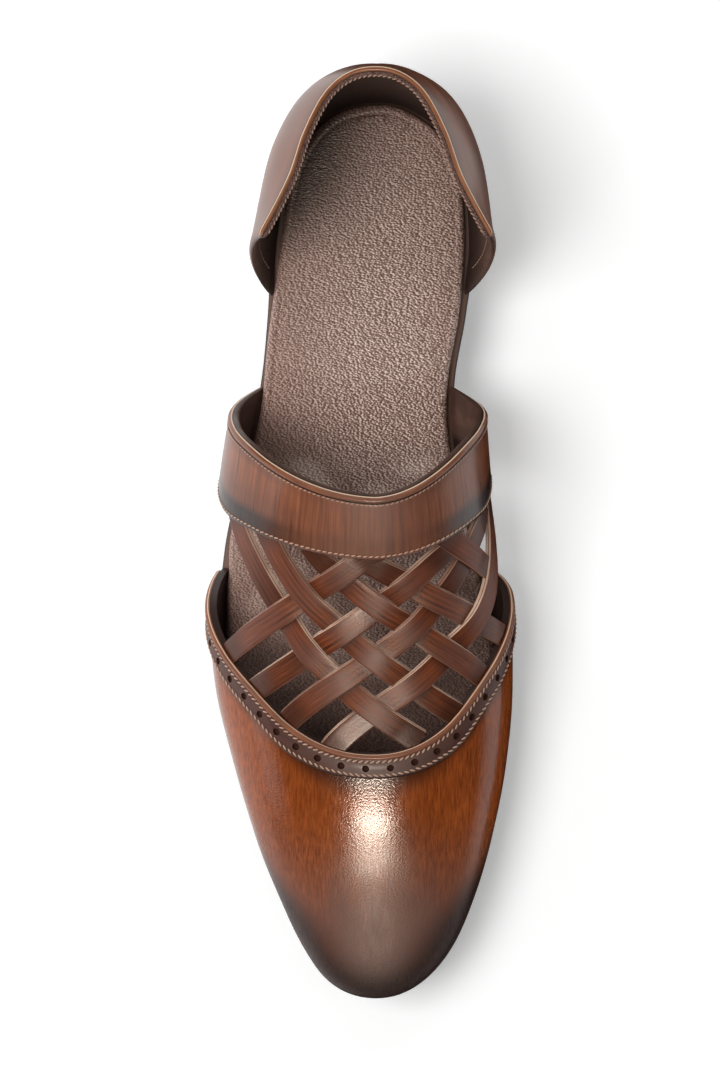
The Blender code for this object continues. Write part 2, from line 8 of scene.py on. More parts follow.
import bmesh
import bpy
import mathutils
import numpy as np
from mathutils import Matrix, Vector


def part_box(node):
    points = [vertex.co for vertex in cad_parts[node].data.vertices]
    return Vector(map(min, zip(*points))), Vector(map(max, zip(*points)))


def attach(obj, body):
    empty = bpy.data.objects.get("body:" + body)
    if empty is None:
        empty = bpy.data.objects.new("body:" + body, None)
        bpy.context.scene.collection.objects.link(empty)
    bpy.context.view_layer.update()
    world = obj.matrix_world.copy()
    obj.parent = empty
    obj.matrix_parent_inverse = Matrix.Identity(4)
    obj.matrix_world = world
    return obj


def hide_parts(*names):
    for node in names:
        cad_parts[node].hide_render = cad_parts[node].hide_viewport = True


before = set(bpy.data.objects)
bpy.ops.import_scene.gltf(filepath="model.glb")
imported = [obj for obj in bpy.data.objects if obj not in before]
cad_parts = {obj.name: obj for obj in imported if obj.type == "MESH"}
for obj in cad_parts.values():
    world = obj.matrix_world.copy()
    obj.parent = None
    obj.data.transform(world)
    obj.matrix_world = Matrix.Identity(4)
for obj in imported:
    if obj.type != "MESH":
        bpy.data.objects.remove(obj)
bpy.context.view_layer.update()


# Outsole. A thin sheet of dark rubber, cut to the last's outline, with an arched waist and a
# little toe spring. Its edge is trimmed and rounded, and it carries everything else.

SOLE_LENGTH = 0.297
BALL_WIDTH = 0.0962
HEEL_HEIGHT = 0.020
TOE_SPRING = 0.0105
TOE_SWING = 0.0015
OUTSOLE_THICKNESS = 0.0045
SEAM_GAP = 0.0003
OUTLINE = [  # station, lateral and medial half width as shares of the ball width
    (0.000, 0.000, 0.000),
    (0.012, 0.167, 0.130),
    (0.040, 0.269, 0.243),
    (0.090, 0.348, 0.312),
    (0.160, 0.376, 0.325),
    (0.250, 0.388, 0.290),
    (0.330, 0.415, 0.251),
    (0.410, 0.473, 0.270),
    (0.500, 0.540, 0.335),
    (0.580, 0.564, 0.402),
    (0.660, 0.551, 0.430),
    (0.740, 0.493, 0.417),
    (0.820, 0.413, 0.373),
    (0.890, 0.319, 0.313),
    (0.945, 0.236, 0.243),
    (0.982, 0.152, 0.150),
    (1.000, 0.000, 0.000),
]


def as_is(value):
    return value


def squared(value):
    return np.square(value)


def turn(station):
    return np.arccos(np.clip(1 - 2 * np.asarray(station, float), -1, 1))


def station_of(angle):
    return (1 - np.cos(angle)) / 2


def curve(rows, column, place, measure=as_is):
    """Smooth curve through one column of a table, read at places of its first column."""
    known = measure(np.array([row[0] for row in rows], float))
    value = np.array([row[column] for row in rows], float)
    place = measure(np.asarray(place, float))
    step = np.diff(known)
    rise = np.diff(value) / step
    slope = np.empty_like(value)
    slope[1:-1] = (rise[:-1] * step[1:] + rise[1:] * step[:-1]) / (step[:-1] + step[1:])
    slope[0] = 2 * rise[0] - slope[1]
    slope[-1] = 2 * rise[-1] - slope[-2]
    i = np.clip(np.searchsorted(known, place) - 1, 0, len(known) - 2)
    s = (place - known[i]) / step[i]
    start = value[i] * (1 + 2 * s) * (1 - s) ** 2 + slope[i] * step[i] * s * (1 - s) ** 2
    end = value[i + 1] * s * s * (3 - 2 * s) + slope[i + 1] * step[i] * s * s * (s - 1)
    return start + end


def smooth_step(share):
    share = np.clip(share, 0, 1)
    return share * share * (3 - 2 * share)


def sole_edge(station, side):
    station = np.asarray(station, float)
    lateral = -curve(OUTLINE, 1, station, turn) * BALL_WIDTH
    medial = curve(OUTLINE, 2, station, turn) * BALL_WIDTH
    swing = TOE_SWING * np.clip((station - 0.4) / 0.6, 0, 1) ** 2
    return np.where(np.asarray(side) < 0, lateral, medial) - swing, -station * SOLE_LENGTH


def edge_outward(station, side):
    reach = 1e-3
    angle = turn(station)
    before = station_of(np.clip(angle - reach, 1e-4, math.pi - 1e-4))
    after = station_of(np.clip(angle + reach, 1e-4, math.pi - 1e-4))
    x0, y0 = sole_edge(before, side)
    x1, y1 = sole_edge(after, side)
    length = np.hypot(x1 - x0, y1 - y0) + 1e-12
    sign = np.where(np.asarray(side) < 0, -1.0, 1.0)
    return -sign * (y1 - y0) / length, sign * (x1 - x0) / length


def inset_edge(station, side, inset):
    x, y = sole_edge(station, side)
    out_x, out_y = edge_outward(station, side)
    return x - out_x * inset, y - out_y * inset


def floor_profile(station):
    station = np.asarray(station, float)
    waist = HEEL_HEIGHT * (1 - smooth_step((station - 0.300) / 0.320))
    return waist + TOE_SPRING * np.clip((station - 0.72) / 0.28, 0, None) ** 2


# The frame was moved so that the middle of its box stands over the origin: so is every piece here.
fine = station_of(np.linspace(0, math.pi, 400))
own_right = sole_edge(fine, 1)[0].max()
SHIFT = np.array([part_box("outsole")[1].x - own_right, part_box("outsole")[1].y, 0.0])


def put_in_scene(name, data):
    thing = bpy.data.objects.new(name, data)
    bpy.context.scene.collection.objects.link(thing)
    return thing


def new_piece(name, points, faces, finishes, face_slots=None, uv=None, tones=None, sharp=50,
              closed=True):
    """Mesh object with doubled points merged, faces turned outwards and smooth shading."""
    mesh = bpy.data.meshes.new(name)
    mesh.from_pydata((np.asarray(points, float).reshape(-1, 3) + SHIFT).tolist(), [], faces)
    for finish in finishes:
        mesh.materials.append(finish)
    if face_slots is not None:
        mesh.polygons.foreach_set("material_index", np.asarray(face_slots, np.int32))
    if uv is not None:
        layer = mesh.uv_layers.new(name="Cut")
        layer.data.foreach_set("uv", np.asarray(uv, np.float32).ravel())
    for tone, values in (tones or {}).items():
        attribute = mesh.attributes.new(tone, "FLOAT", "POINT")
        attribute.data.foreach_set("value", np.asarray(values, np.float32).ravel())
    work = bmesh.new()
    work.from_mesh(mesh)
    bmesh.ops.remove_doubles(work, verts=work.verts, dist=3e-6)
    bmesh.ops.dissolve_degenerate(work, edges=work.edges, dist=1e-7)
    if closed:
        bmesh.ops.recalc_face_normals(work, faces=work.faces)
    else:
        middle = sum((corner.co for corner in work.verts), mathutils.Vector()) / len(work.verts)
        work.normal_update()
        if sum((f.calc_center_median() - middle).dot(f.normal) for f in work.faces) < 0:
            bmesh.ops.reverse_faces(work, faces=work.faces)
    work.to_mesh(mesh)
    work.free()
    mesh.shade_smooth()
    mesh.set_sharp_from_angle(angle=math.radians(sharp))
    return put_in_scene(name, mesh)


def edge_ring(stations, inset, level):
    """Ring round the sole at an inset, which may differ on the lateral and the medial side."""
    lateral, medial = np.broadcast_to(inset, (2, len(stations)))
    level = np.broadcast_to(level, stations.shape)
    left = np.stack([*inset_edge(stations, -1, lateral), level], axis=-1)
    back = stations[::-1][1:-1]
    right = np.stack([*inset_edge(back, 1, medial[::-1][1:-1]), level[::-1][1:-1]], axis=-1)
    return np.concatenate([left, right])


def ring_sides(count, size):
    """Quads between rings of equally many points, from the first ring to the last."""
    return [(k * size + j, k * size + (j + 1) % size,
             (k + 1) * size + (j + 1) % size, (k + 1) * size + j)
            for k in range(count - 1) for j in range(size)]


def sole_layer(name, stations, rings, columns, finishes, slot_of_ring=None, crown=None, sharp=50):
    """Solid layer from a stack of rings, closed above and below by rows of quads across."""
    size, count = len(rings[0]), len(stations)
    points, faces = [*np.concatenate(rings)], ring_sides(len(rings), size)
    slots = np.repeat(slot_of_ring or [0] * (len(rings) - 1), size).tolist()
    for ring_at, lift in ((0, 0.0), (len(rings) - 1, 1.0)):
        start = ring_at * size
        rows = []
        for j in range(1, count - 1):
            left, right = start + j, start + size - j
            row = [left]
            for c in range(1, columns):
                share = c / columns
                point = np.array(points[left]) * (1 - share) + np.array(points[right]) * share
                if lift and crown:
                    point[2] += crown(stations[j], share)
                row.append(len(points))
                points.append(point)
            rows.append(row + [right])
        tip = [start] * (columns + 1)
        toe = [start + count - 1] * (columns + 1)
        for first, second in zip([tip] + rows, rows + [toe]):
            for c in range(columns):
                corner = [first[c], first[c + 1], second[c + 1], second[c]]
                face = tuple(dict.fromkeys(corner))
                if len(face) > 2:
                    faces.append(face)
                    slots.append(slot_of_ring[-1] if slot_of_ring and lift else 0)
    return new_piece(name, points, faces, finishes, slots, sharp=sharp)


def new_finish(name, colour, roughness, **sockets):
    """Material with its plain values set on the shader itself."""
    finish = bpy.data.materials.new(name)
    finish.use_nodes = True
    tree = finish.node_tree
    shader = tree.nodes["Principled BSDF"]
    shader.inputs["Base Color"].default_value = (*colour, 1)
    shader.inputs["Roughness"].default_value = roughness
    for socket, value in sockets.items():
        shader.inputs[socket.replace("_", " ")].default_value = value
    finish.diffuse_color = (*colour, 1)
    return finish, tree, shader


def add_node(tree, kind, links=None, values=None, **settings):
    node = tree.nodes.new(kind)
    for key, value in settings.items():
        setattr(node, key, value)
    for key, value in (values or {}).items():
        node.inputs[key].default_value = value
    for key, source in (links or {}).items():
        tree.links.new(source, node.inputs[key])
    return node


def own_place(tree, scale=(1, 1, 1), turned=(0.4, 0.5, 0.6), beside=(0, 0, 0)):
    """Object coordinates, stretched, turned so that streaks end unevenly, and moved beside."""
    place = add_node(tree, "ShaderNodeTexCoord")
    return add_node(tree, "ShaderNodeMapping", {"Vector": place.outputs["Object"]},
                    {"Scale": scale, "Rotation": turned, "Location": beside}).outputs["Vector"]


def cut_place(tree, scale):
    """The piece's own cut, in metres across and along, stretched by two scales and turned."""
    place = add_node(tree, "ShaderNodeUVMap", uv_map="Cut")
    return add_node(tree, "ShaderNodeMapping", {"Vector": place.outputs["UV"]},
                    {"Scale": (*scale, 1), "Rotation": (0, 0, 0.6)}).outputs["Vector"]


def reckon(tree, first, second, operation="MULTIPLY"):
    return add_node(tree, "ShaderNodeMath", {0: first, 1: second}, operation=operation).outputs[0]


def noise(tree, vector, scale, detail=3.0, roughness=0.5):
    return add_node(tree, "ShaderNodeTexNoise", {"Vector": vector},
                    {"Scale": scale, "Detail": detail, "Roughness": roughness}).outputs["Fac"]


def spread(tree, value, low, high, to_low=0.0, to_high=1.0):
    return add_node(tree, "ShaderNodeMapRange", {"Value": value},
                    {"From Min": low, "From Max": high, "To Min": to_low, "To Max": to_high},
                    clamp=True).outputs["Result"]


def blend_colours(tree, factor, first, second):
    """Mix of two colours. Each may be a colour or a socket, and so may the factor."""
    mix = tree.nodes.new("ShaderNodeMix")
    mix.data_type = "RGBA"
    for key, value in ((0, factor), (6, first), (7, second)):
        if isinstance(value, bpy.types.NodeSocket):
            tree.links.new(value, mix.inputs[key])
        elif key:
            mix.inputs[key].default_value = (*value, 1)
        else:
            mix.inputs[key].default_value = value
    return mix.outputs[2]


def two_tones(tree, shader, amount, first, second):
    tree.links.new(blend_colours(tree, amount, first, second), shader.inputs["Base Color"])


def bump_into(tree, shader, height, strength, distance, after=None):
    links = {"Height": height}
    if after:
        links["Normal"] = after
    bump = add_node(tree, "ShaderNodeBump", links, {"Strength": strength, "Distance": distance})
    tree.links.new(bump.outputs["Normal"], shader.inputs["Normal"])
    return bump.outputs["Normal"]


def sole_rubber():
    finish, tree, shader = new_finish("Sole rubber", (0.030, 0.024, 0.021), 0.42)
    place = own_place(tree)
    two_tones(tree, shader, spread(tree, noise(tree, place, 28, 4), 0.35, 0.7),
              (0.018, 0.014, 0.013), (0.055, 0.046, 0.042))
    scuff = noise(tree, own_place(tree, (600, 90, 600)), 1.0, 4)
    tree.links.new(spread(tree, scuff, 0.3, 0.75, 0.34, 0.55), shader.inputs["Roughness"])
    bump_into(tree, shader, noise(tree, place, 1500, 2), 0.25, 0.0002)
    return finish


rubber = sole_rubber()
EDGE_ROUND = 0.0011
stations = station_of(np.linspace(0, math.pi, 150))
under = floor_profile(stations)
rings = []
for share in np.linspace(0, 1, 6):
    drop = EDGE_ROUND * (1 - math.cos(share * math.pi / 2))
    inset = EDGE_ROUND * (1 - math.sin(share * math.pi / 2))
    rings.append(edge_ring(stations, inset, under + drop))
for share in np.linspace(0, 1, 6):
    inset = EDGE_ROUND * (1 - math.cos(share * math.pi / 2))
    rise = EDGE_ROUND * math.sin(share * math.pi / 2)
    rings.append(edge_ring(stations, inset, under + OUTSOLE_THICKNESS - EDGE_ROUND + rise))
insole_cover = new_finish("Brown insole cover", (0.150, 0.078, 0.055), 0.55)[0]
outsole = sole_layer("outsole_rubber", stations, rings, 12, [rubber, insole_cover],
                     [0] * 9 + [1] * 2)
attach(outsole, "root")
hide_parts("outsole")


# Tread. The forefoot is ribbed straight across at a slight slant, low and close, so that the
# smooth rubber grips. The ribs stop short of the sole's stitching, and wear has rubbed them paler.

RIB_PITCH, RIB_WIDTH, RIB_HEIGHT, RIB_SUNK = 0.00245, 0.0017, 0.00045, 0.00015
RIB_SLANT, SHORTEST_RIB = 0.096, 0.004
FIRST_RIB, LAST_RIB = 0.437, 0.888
RIBBED = [  # station of a rib's lateral end, reach to the lateral and medial side in millimetres
    (0.435, 6, -14),
    (0.470, 14, 4),
    (0.520, 24, 17),
    (0.570, 30, 25),
    (0.630, 32, 30),
    (0.690, 30, 30),
    (0.750, 26, 28),
    (0.800, 21, 24),
    (0.850, 14, 17),
    (0.890, 6, 8),
]


def new_tree(name, line, sizes, finish, result):
    """Geometry Nodes tree that takes a line, named sizes and a finish, and gives one mesh."""
    tree = bpy.data.node_groups.new(name, "GeometryNodeTree")
    sockets = [(line, "INPUT", "Geometry"), *((size, "INPUT", "Float") for size in sizes),
               (finish, "INPUT", "Material"), (result, "OUTPUT", "Geometry")]
    for label, way, kind in sockets:
        tree.interface.new_socket(label, in_out=way, socket_type="NodeSocket" + kind)
    given = tree.nodes.new("NodeGroupInput").outputs
    line = add_node(tree, "GeometryNodeMeshToCurve", {"Mesh": given[line]}).outputs["Curve"]
    return tree, given, line


def copies_along(tree, line, pitch, shape, rotation):
    points = add_node(tree, "GeometryNodeResampleCurve", {"Curve": line, "Length": pitch},
                      mode="LENGTH").outputs["Curve"]
    return add_node(tree, "GeometryNodeInstanceOnPoints", {
        "Points": points, "Instance": shape, "Rotation": rotation}).outputs["Instances"]


def end_tree(tree, shape, finish, result):
    """Make all copies real, give them their finish and hand them out."""
    real = add_node(tree, "GeometryNodeRealizeInstances", {"Geometry": shape}).outputs["Geometry"]
    done = add_node(tree, "GeometryNodeSetMaterial", {"Geometry": real, "Material": finish})
    add_node(tree, "NodeGroupOutput", {result: done.outputs["Geometry"]})
    return tree


def upward_mark(tree):
    return add_node(tree, "GeometryNodeInputNamedAttribute", values={"Name": "up"},
                    data_type="FLOAT_VECTOR").outputs["Attribute"]


def run_tree():
    """Geometry Nodes: copies of one small stitch at a set pitch along a seam's line."""
    tree, given, line = new_tree("Stitches along a seam", "Seam",
                                 ("Pitch", "Length", "Thickness", "Flatness", "Slant"),
                                 "Thread", "Stitches")
    ball = add_node(tree, "GeometryNodeMeshUVSphere", values={"Segments": 8, "Rings": 6,
                                                              "Radius": 0.5})
    smooth = add_node(tree, "GeometryNodeSetShadeSmooth", {"Geometry": ball.outputs["Mesh"]})
    size = add_node(tree, "ShaderNodeCombineXYZ", {
        "X": given["Thickness"], "Y": reckon(tree, given["Thickness"], given["Flatness"]),
        "Z": given["Length"]})
    stitch = add_node(tree, "GeometryNodeTransform", {"Geometry": smooth.outputs["Geometry"],
                                                      "Scale": size.outputs[0]})
    up = upward_mark(tree)
    tangent = add_node(tree, "GeometryNodeInputTangent").outputs["Tangent"]
    sway = add_node(tree, "FunctionNodeRandomValue", values={"Min": -0.07, "Max": 0.07,
                                                             "Seed": 4}, data_type="FLOAT")
    sway = next(o for o in sway.outputs if o.enabled)
    lean = add_node(tree, "ShaderNodeVectorRotate", {
        "Vector": tangent, "Axis": up, "Angle": reckon(tree, given["Slant"], sway, "ADD")},
        rotation_type="AXIS_ANGLE").outputs[0]
    along = add_node(tree, "FunctionNodeAlignRotationToVector", {"Vector": lean}, axis="Z")
    facing = add_node(tree, "FunctionNodeAlignRotationToVector", {
        "Rotation": along.outputs["Rotation"], "Vector": up}, axis="Y", pivot_axis="Z")
    copies = copies_along(tree, line, given["Pitch"], stitch.outputs["Geometry"],
                          facing.outputs["Rotation"])
    return end_tree(tree, copies, given["Thread"], "Stitches")


def line_mesh(name, lines, ups):
    """Edges along one or more lines, each point with the direction that faces away."""
    mesh = bpy.data.meshes.new(name)
    points, edges = [], []
    for line in lines:
        start = len(points)
        points.extend((np.asarray(line) + SHIFT).tolist())
        edges.extend((start + i, start + i + 1) for i in range(len(line) - 1))
    mesh.from_pydata(points, edges, [])
    attribute = mesh.attributes.new("up", "FLOAT_VECTOR", "POINT")
    attribute.data.foreach_set("vector", np.concatenate(ups).astype(np.float32).ravel())
    return put_in_scene(name, mesh)


def settle(thing):
    """Keep an object's evaluated mesh and drop its modifiers."""
    bpy.context.view_layer.update()
    graph = bpy.context.evaluated_depsgraph_get()
    old = thing.data
    thing.data = bpy.data.meshes.new_from_object(thing.evaluated_get(graph))
    thing.data.name = thing.name
    thing.modifiers.clear()
    bpy.data.meshes.remove(old)
    return thing


def made_by(thing, tree, **values):
    """Run a Geometry Nodes tree on an object and keep the result as its plain mesh."""
    run = thing.modifiers.new("Run", "NODES")
    run.node_group = tree
    for item in tree.interface.items_tree:
        if item.in_out == "INPUT" and item.name in values:
            run[item.identifier] = values[item.name]
    return settle(thing)


def tread_tree():
    """Geometry Nodes: a low rounded bar swept along each rib's line."""
    tree, given, line = new_tree("Tread ribs", "Lines", ("Width", "Height"), "Rubber", "Ribs")
    ring = add_node(tree, "GeometryNodeCurvePrimitiveCircle", values={"Resolution": 8,
                                                                      "Radius": 0.5})
    size = add_node(tree, "ShaderNodeCombineXYZ", {"X": given["Width"], "Y": given["Height"]},
                    {"Z": 1})
    bar = add_node(tree, "GeometryNodeTransform", {"Geometry": ring.outputs["Curve"],
                                                   "Scale": size.outputs[0]})
    swept = add_node(tree, "GeometryNodeCurveToMesh", {
        "Curve": line, "Profile Curve": bar.outputs["Geometry"]}, {"Fill Caps": True})
    return end_tree(tree, swept.outputs["Mesh"], given["Rubber"], "Ribs")


def sole_under(x, y):
    return np.stack([x, y, floor_profile(-y / SOLE_LENGTH)], axis=-1)


rib_lines, rib_ups = [], []
for station in np.arange(FIRST_RIB, LAST_RIB, RIB_PITCH / SOLE_LENGTH):
    left = -float(curve(RIBBED, 1, station)) / 1000
    right = float(curve(RIBBED, 2, station)) / 1000
    if right - left > SHORTEST_RIB:
        x = np.linspace(left, right, 9)
        line = sole_under(x, -station * SOLE_LENGTH + RIB_SLANT * (x - left))
        line[:, 2] += RIB_SUNK
        rib_lines.append(line)
        rib_ups.append(np.tile((0.0, 0.0, -1.0), (9, 1)))
rubbed_rubber = new_finish("Rubbed rib rubber", (0.100, 0.092, 0.086), 0.32)[0]
tread = made_by(line_mesh("tread_ribs", rib_lines, rib_ups), tread_tree(), Width=RIB_WIDTH,
                Height=2 * RIB_HEIGHT, Rubber=rubbed_rubber)
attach(tread, "root")


# Sole stitching. A waxed copper-brown thread locks the sole to the upper. It lies in a channel
# that runs round the forefoot and the waist, and dips into the sole between two long stitches.

CHANNEL = [  # station, inset from the sole's edge in millimetres, lateral and medial
    (0.335, 7.5, 6.5),
    (0.400, 8.0, 7.0),
    (0.480, 8.5, 8.0),
    (0.560, 8.5, 8.0),
    (0.640, 8.0, 7.5),
    (0.720, 7.5, 7.0),
    (0.800, 7.0, 7.0),
    (0.880, 6.0, 6.5),
    (0.950, 5.5, 6.0),
]
FIRST_STITCH, LAST_STITCH, THREAD_SUNK = 0.335, 0.955, 0.0001
STITCH_PITCH, STITCH_LENGTH, STITCH_THICKNESS = 0.0098, 0.0086, 0.0013
copper_thread = new_finish("Waxed sole thread", (0.20, 0.075, 0.032), 0.45)[0]
stitch_run = run_tree()
seam_lines, seam_ups = [], []
for side, column in ((-1, 1), (1, 2)):
    place = np.linspace(FIRST_STITCH, LAST_STITCH, 160)
    x, y = inset_edge(place, side, curve(CHANNEL, column, place) / 1000)
    seam_lines.append(sole_under(x, y) + np.array((0, 0, THREAD_SUNK)))
    seam_ups.append(np.tile((0.0, 0.0, -1.0), (160, 1)))
sole_stitches = made_by(line_mesh("sole_stitches", seam_lines, seam_ups), stitch_run,
                        Pitch=STITCH_PITCH, Length=STITCH_LENGTH, Thickness=STITCH_THICKNESS,
                        Flatness=0.5, Thread=copper_thread)
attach(sole_stitches, "root")


# Heel. A block of stacked leather, stained dark and polished, with a hollowed breast, and below
# it a top piece in two halves: stippled rubber in front, hard cross-lined rubber behind.

BREAST_STATION = 0.293
LIFT_SPLIT_STATION = 0.129
LIFT_THICKNESS = 0.006
HEEL_INSET = 0.0006
HEEL_TAPER = 0.0008
BREAST_HOLLOW = 0.0048


def heel_outline(first, last, inset, hollow):
    places = station_of(np.linspace(turn(first), turn(last), 60))
    lateral = np.stack(inset_edge(places, -1, inset), axis=-1)
    medial = np.stack(inset_edge(places[::-1], 1, inset), axis=-1)
    left, right = lateral[-1], medial[0]
    share = np.linspace(0, 1, 25)[1:-1, None]
    front = left + (right - left) * share
    front[:, 1] += hollow * np.sin(math.pi * share[:, 0])
    if first == 0.0:
        medial = medial[:-1]
    return np.concatenate([lateral, front, medial])


def shrink_plan(plan, middle, by):
    away = plan - middle
    return plan - by * away / np.linalg.norm(away, axis=1, keepdims=True)


def heel_piece(name, first, last, low, high, insets, hollow, finish, round_low):
    """Heel part with a small round at its edges, closed flat above and below."""
    heights = [(low, round_low), (low + round_low * 0.3, round_low * 0.3), (low + round_low, 0)]
    heights += [(high - 0.0004, 0), (high, 0.0003)]
    rings = []
    for level, cut in heights:
        share = (level - low) / (high - low)
        plan = heel_outline(first, last, insets[0] + (insets[1] - insets[0]) * share, hollow)
        plan = shrink_plan(plan, plan.mean(axis=0), cut)
        rings.append(np.column_stack([plan, np.full(len(plan), level)]))
    size = len(rings[0])
    faces = [tuple(range(size)), tuple(range(size * (len(rings) - 1), size * len(rings)))]
    faces += ring_sides(len(rings), size)
    return new_piece(name, np.concatenate(rings), faces, [finish], sharp=40)


def stack_leather():
    """Layers of sole leather about 4 mm thick, each with its own tone, polished over."""
    finish, tree, shader = new_finish("Stacked heel leather", (0.06, 0.035, 0.025), 0.38,
                                      Coat_Weight=0.25, Coat_Roughness=0.25)
    layers = add_node(tree, "ShaderNodeTexWave", {"Vector": own_place(tree, turned=(0, 0, 0))},
                      {"Scale": 75.0, "Distortion": 0.15, "Detail": 1.0, "Detail Scale": 1.0},
                      bands_direction="Z", wave_profile="SAW").outputs["Fac"]
    joint = spread(tree, layers, 0.88, 0.96)
    fibre = noise(tree, own_place(tree, (220, 220, 1800)), 1.0, 4)
    colour = blend_colours(tree, spread(tree, fibre, 0.3, 0.75), (0.030, 0.017, 0.013),
                           (0.085, 0.050, 0.036))
    two_tones(tree, shader, joint, colour, (0.008, 0.005, 0.004))
    bump_into(tree, shader, joint, 0.4, -0.0002)
    return finish


def stippled_rubber():
    finish, tree, shader = new_finish("Stippled lift rubber", (0.055, 0.053, 0.050), 0.7)
    grain = add_node(tree, "ShaderNodeTexVoronoi", {"Vector": own_place(tree)},
                     {"Scale": 900.0}).outputs["Distance"]
    two_tones(tree, shader, spread(tree, grain, 0.1, 0.7), (0.095, 0.092, 0.088),
              (0.030, 0.029, 0.028))
    bump_into(tree, shader, grain, 0.5, 0.0003)
    return finish


def lined_rubber():
    finish, tree, shader = new_finish("Hard lined lift rubber", (0.014, 0.014, 0.014), 0.45)
    lines = add_node(tree, "ShaderNodeTexWave", {"Vector": own_place(tree, turned=(0, 0, 0))},
                     {"Scale": 260.0, "Distortion": 0.0, "Detail": 0.0},
                     bands_direction="Y").outputs["Fac"]
    facing = add_node(tree, "ShaderNodeNewGeometry").outputs["Normal"]
    facing = add_node(tree, "ShaderNodeSeparateXYZ", {"Vector": facing}).outputs["Z"]
    lines = reckon(tree, lines, spread(tree, facing, -0.5, -0.9))
    two_tones(tree, shader, spread(tree, lines, 0.2, 0.8), (0.006, 0.006, 0.006),
              (0.030, 0.029, 0.028))
    bump_into(tree, shader, lines, 0.6, 0.0003)
    return finish


ground_inset = HEEL_INSET + HEEL_TAPER
half_gap = SEAM_GAP / 2 / SOLE_LENGTH
for node, slot, piece in (
    ("heel_block", "heel_stack",
     heel_piece("heel_stack", 0.0, BREAST_STATION, LIFT_THICKNESS + SEAM_GAP,
                HEEL_HEIGHT - SEAM_GAP, (ground_inset, HEEL_INSET), BREAST_HOLLOW,
                stack_leather(), 0.0002)),
    ("heel_lift_front", "front_lift",
     heel_piece("top_piece_front", LIFT_SPLIT_STATION + half_gap, BREAST_STATION, 0.0,
                LIFT_THICKNESS, (ground_inset, ground_inset), BREAST_HOLLOW,
                stippled_rubber(), 0.0006)),
    ("heel_lift_rear", "rear_lift",
     heel_piece("top_piece_rear", 0.0, LIFT_SPLIT_STATION - half_gap, 0.0, LIFT_THICKNESS,
                (ground_inset, ground_inset), 0.0, lined_rubber(), 0.0006)),
):
    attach(piece, "root")
    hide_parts(node)


# Footbed. A foam-padded insole wrapped in soft pebbled leather, which is turned over the edge
# and held by a seam a little way in. It lies on the sole, between the counter and the upper.

FOOTBED_THICKNESS, WRAP_ROUND, WRAP_RISE = 0.0042, 0.0022, 0.0023
WRAP_SEAM = [(0.0004, 0.00008), (0.0007, 0.00020), (0.0010, 0.00008), (0.0016, -0.0001)]
CUSHION_CROWN = 0.0006
SHEEN_PLACE = (0.010, 0.021, 0.0)  # middle of the painted sheen, with its length drawn in to 0.4
FOOTBED_INSET = [  # station, inset from the sole's edge in millimetres, lateral and medial
    (0.000, 4.2, 4.2), (0.100, 4.2, 4.2), (0.165, 3.5, 3.5), (0.205, 2.5, 2.7), (0.245, 1.3, 2.2),
    (0.300, 0.9, 2.1), (0.330, 1.4, 2.2), (0.360, 1.9, 2.5), (0.420, 2.0, 2.6), (0.460, 1.5, 2.6),
    (0.500, 1.6, 2.6), (0.540, 2.8, 2.9), (0.600, 3.0, 3.0), (1.000, 3.0, 3.0),
]


def pebbled_leather():
    finish, tree, shader = new_finish("Pebbled footbed leather", (0.25, 0.16, 0.125), 0.46,
                                      Coat_Weight=0.25, Coat_Roughness=0.36)
    place = own_place(tree)
    # Two cell patterns a little apart give each pebble a painted lighter side and a painted darker
    # side.
    cells, cells_beside = (
        add_node(tree, "ShaderNodeTexVoronoi",
                 {"Vector": own_place(tree, (0.8, 1.3, 1.0), beside=beside)},
                 {"Scale": 1400.0, "Randomness": 1.0}).outputs["Distance"]
        for beside in ((0, 0, 0), (0.00020, 0.00027, 0)))
    pebble_light_and_shade = reckon(tree, cells, cells_beside, "SUBTRACT")
    stretched = own_place(tree, (1.0, 0.4, 0.0), turned=(0, 0, 0))
    fine_grain = noise(tree, place, 2600, 3)
    cloud = noise(tree, place, 26, 3)
    # Painted glints on the pebbles, strongest in a painted sheen over the middle of the waist.
    painted_sheen = add_node(tree, "ShaderNodeVectorMath", {0: stretched}, {1: SHEEN_PLACE},
                     operation="DISTANCE").outputs["Value"]
    painted_sheen = spread(tree, painted_sheen, 0.010, 0.040, 1.0, 0.15)
    painted_glint = reckon(tree, spread(tree, pebble_light_and_shade, 0.0, 0.45), painted_sheen)
    # The leather's two tones come from this painted light and shade of the pebbles.
    colour = blend_colours(tree, spread(tree, pebble_light_and_shade, -0.30, 0.25), (0.125, 0.066, 0.050),
                           (0.430, 0.265, 0.212))
    colour = blend_colours(tree, spread(tree, cloud, 0.35, 0.75, 0.0, 0.4), colour,
                           (0.200, 0.112, 0.086))
    colour = blend_colours(tree, painted_glint, colour, (0.900, 0.740, 0.640))
    # Painted shade under the weave: the leather darkens towards the forefoot.
    along = add_node(tree, "ShaderNodeSeparateXYZ", {"Vector": stretched}).outputs["Y"]
    colour = blend_colours(tree, spread(tree, along, -0.012, -0.030, 0.0, 0.7), colour,
                           (0.070, 0.035, 0.026))
    tree.links.new(colour, shader.inputs["Base Color"])
    tree.links.new(spread(tree, fine_grain, 0.3, 0.7, 0.36, 0.54), shader.inputs["Roughness"])
    first = bump_into(tree, shader, cells, 0.8, -0.00030)
    bump_into(tree, shader, fine_grain, 0.3, 0.0001, first)
    return finish


def seat(station):
    return floor_profile(station) + OUTSOLE_THICKNESS + SEAM_GAP


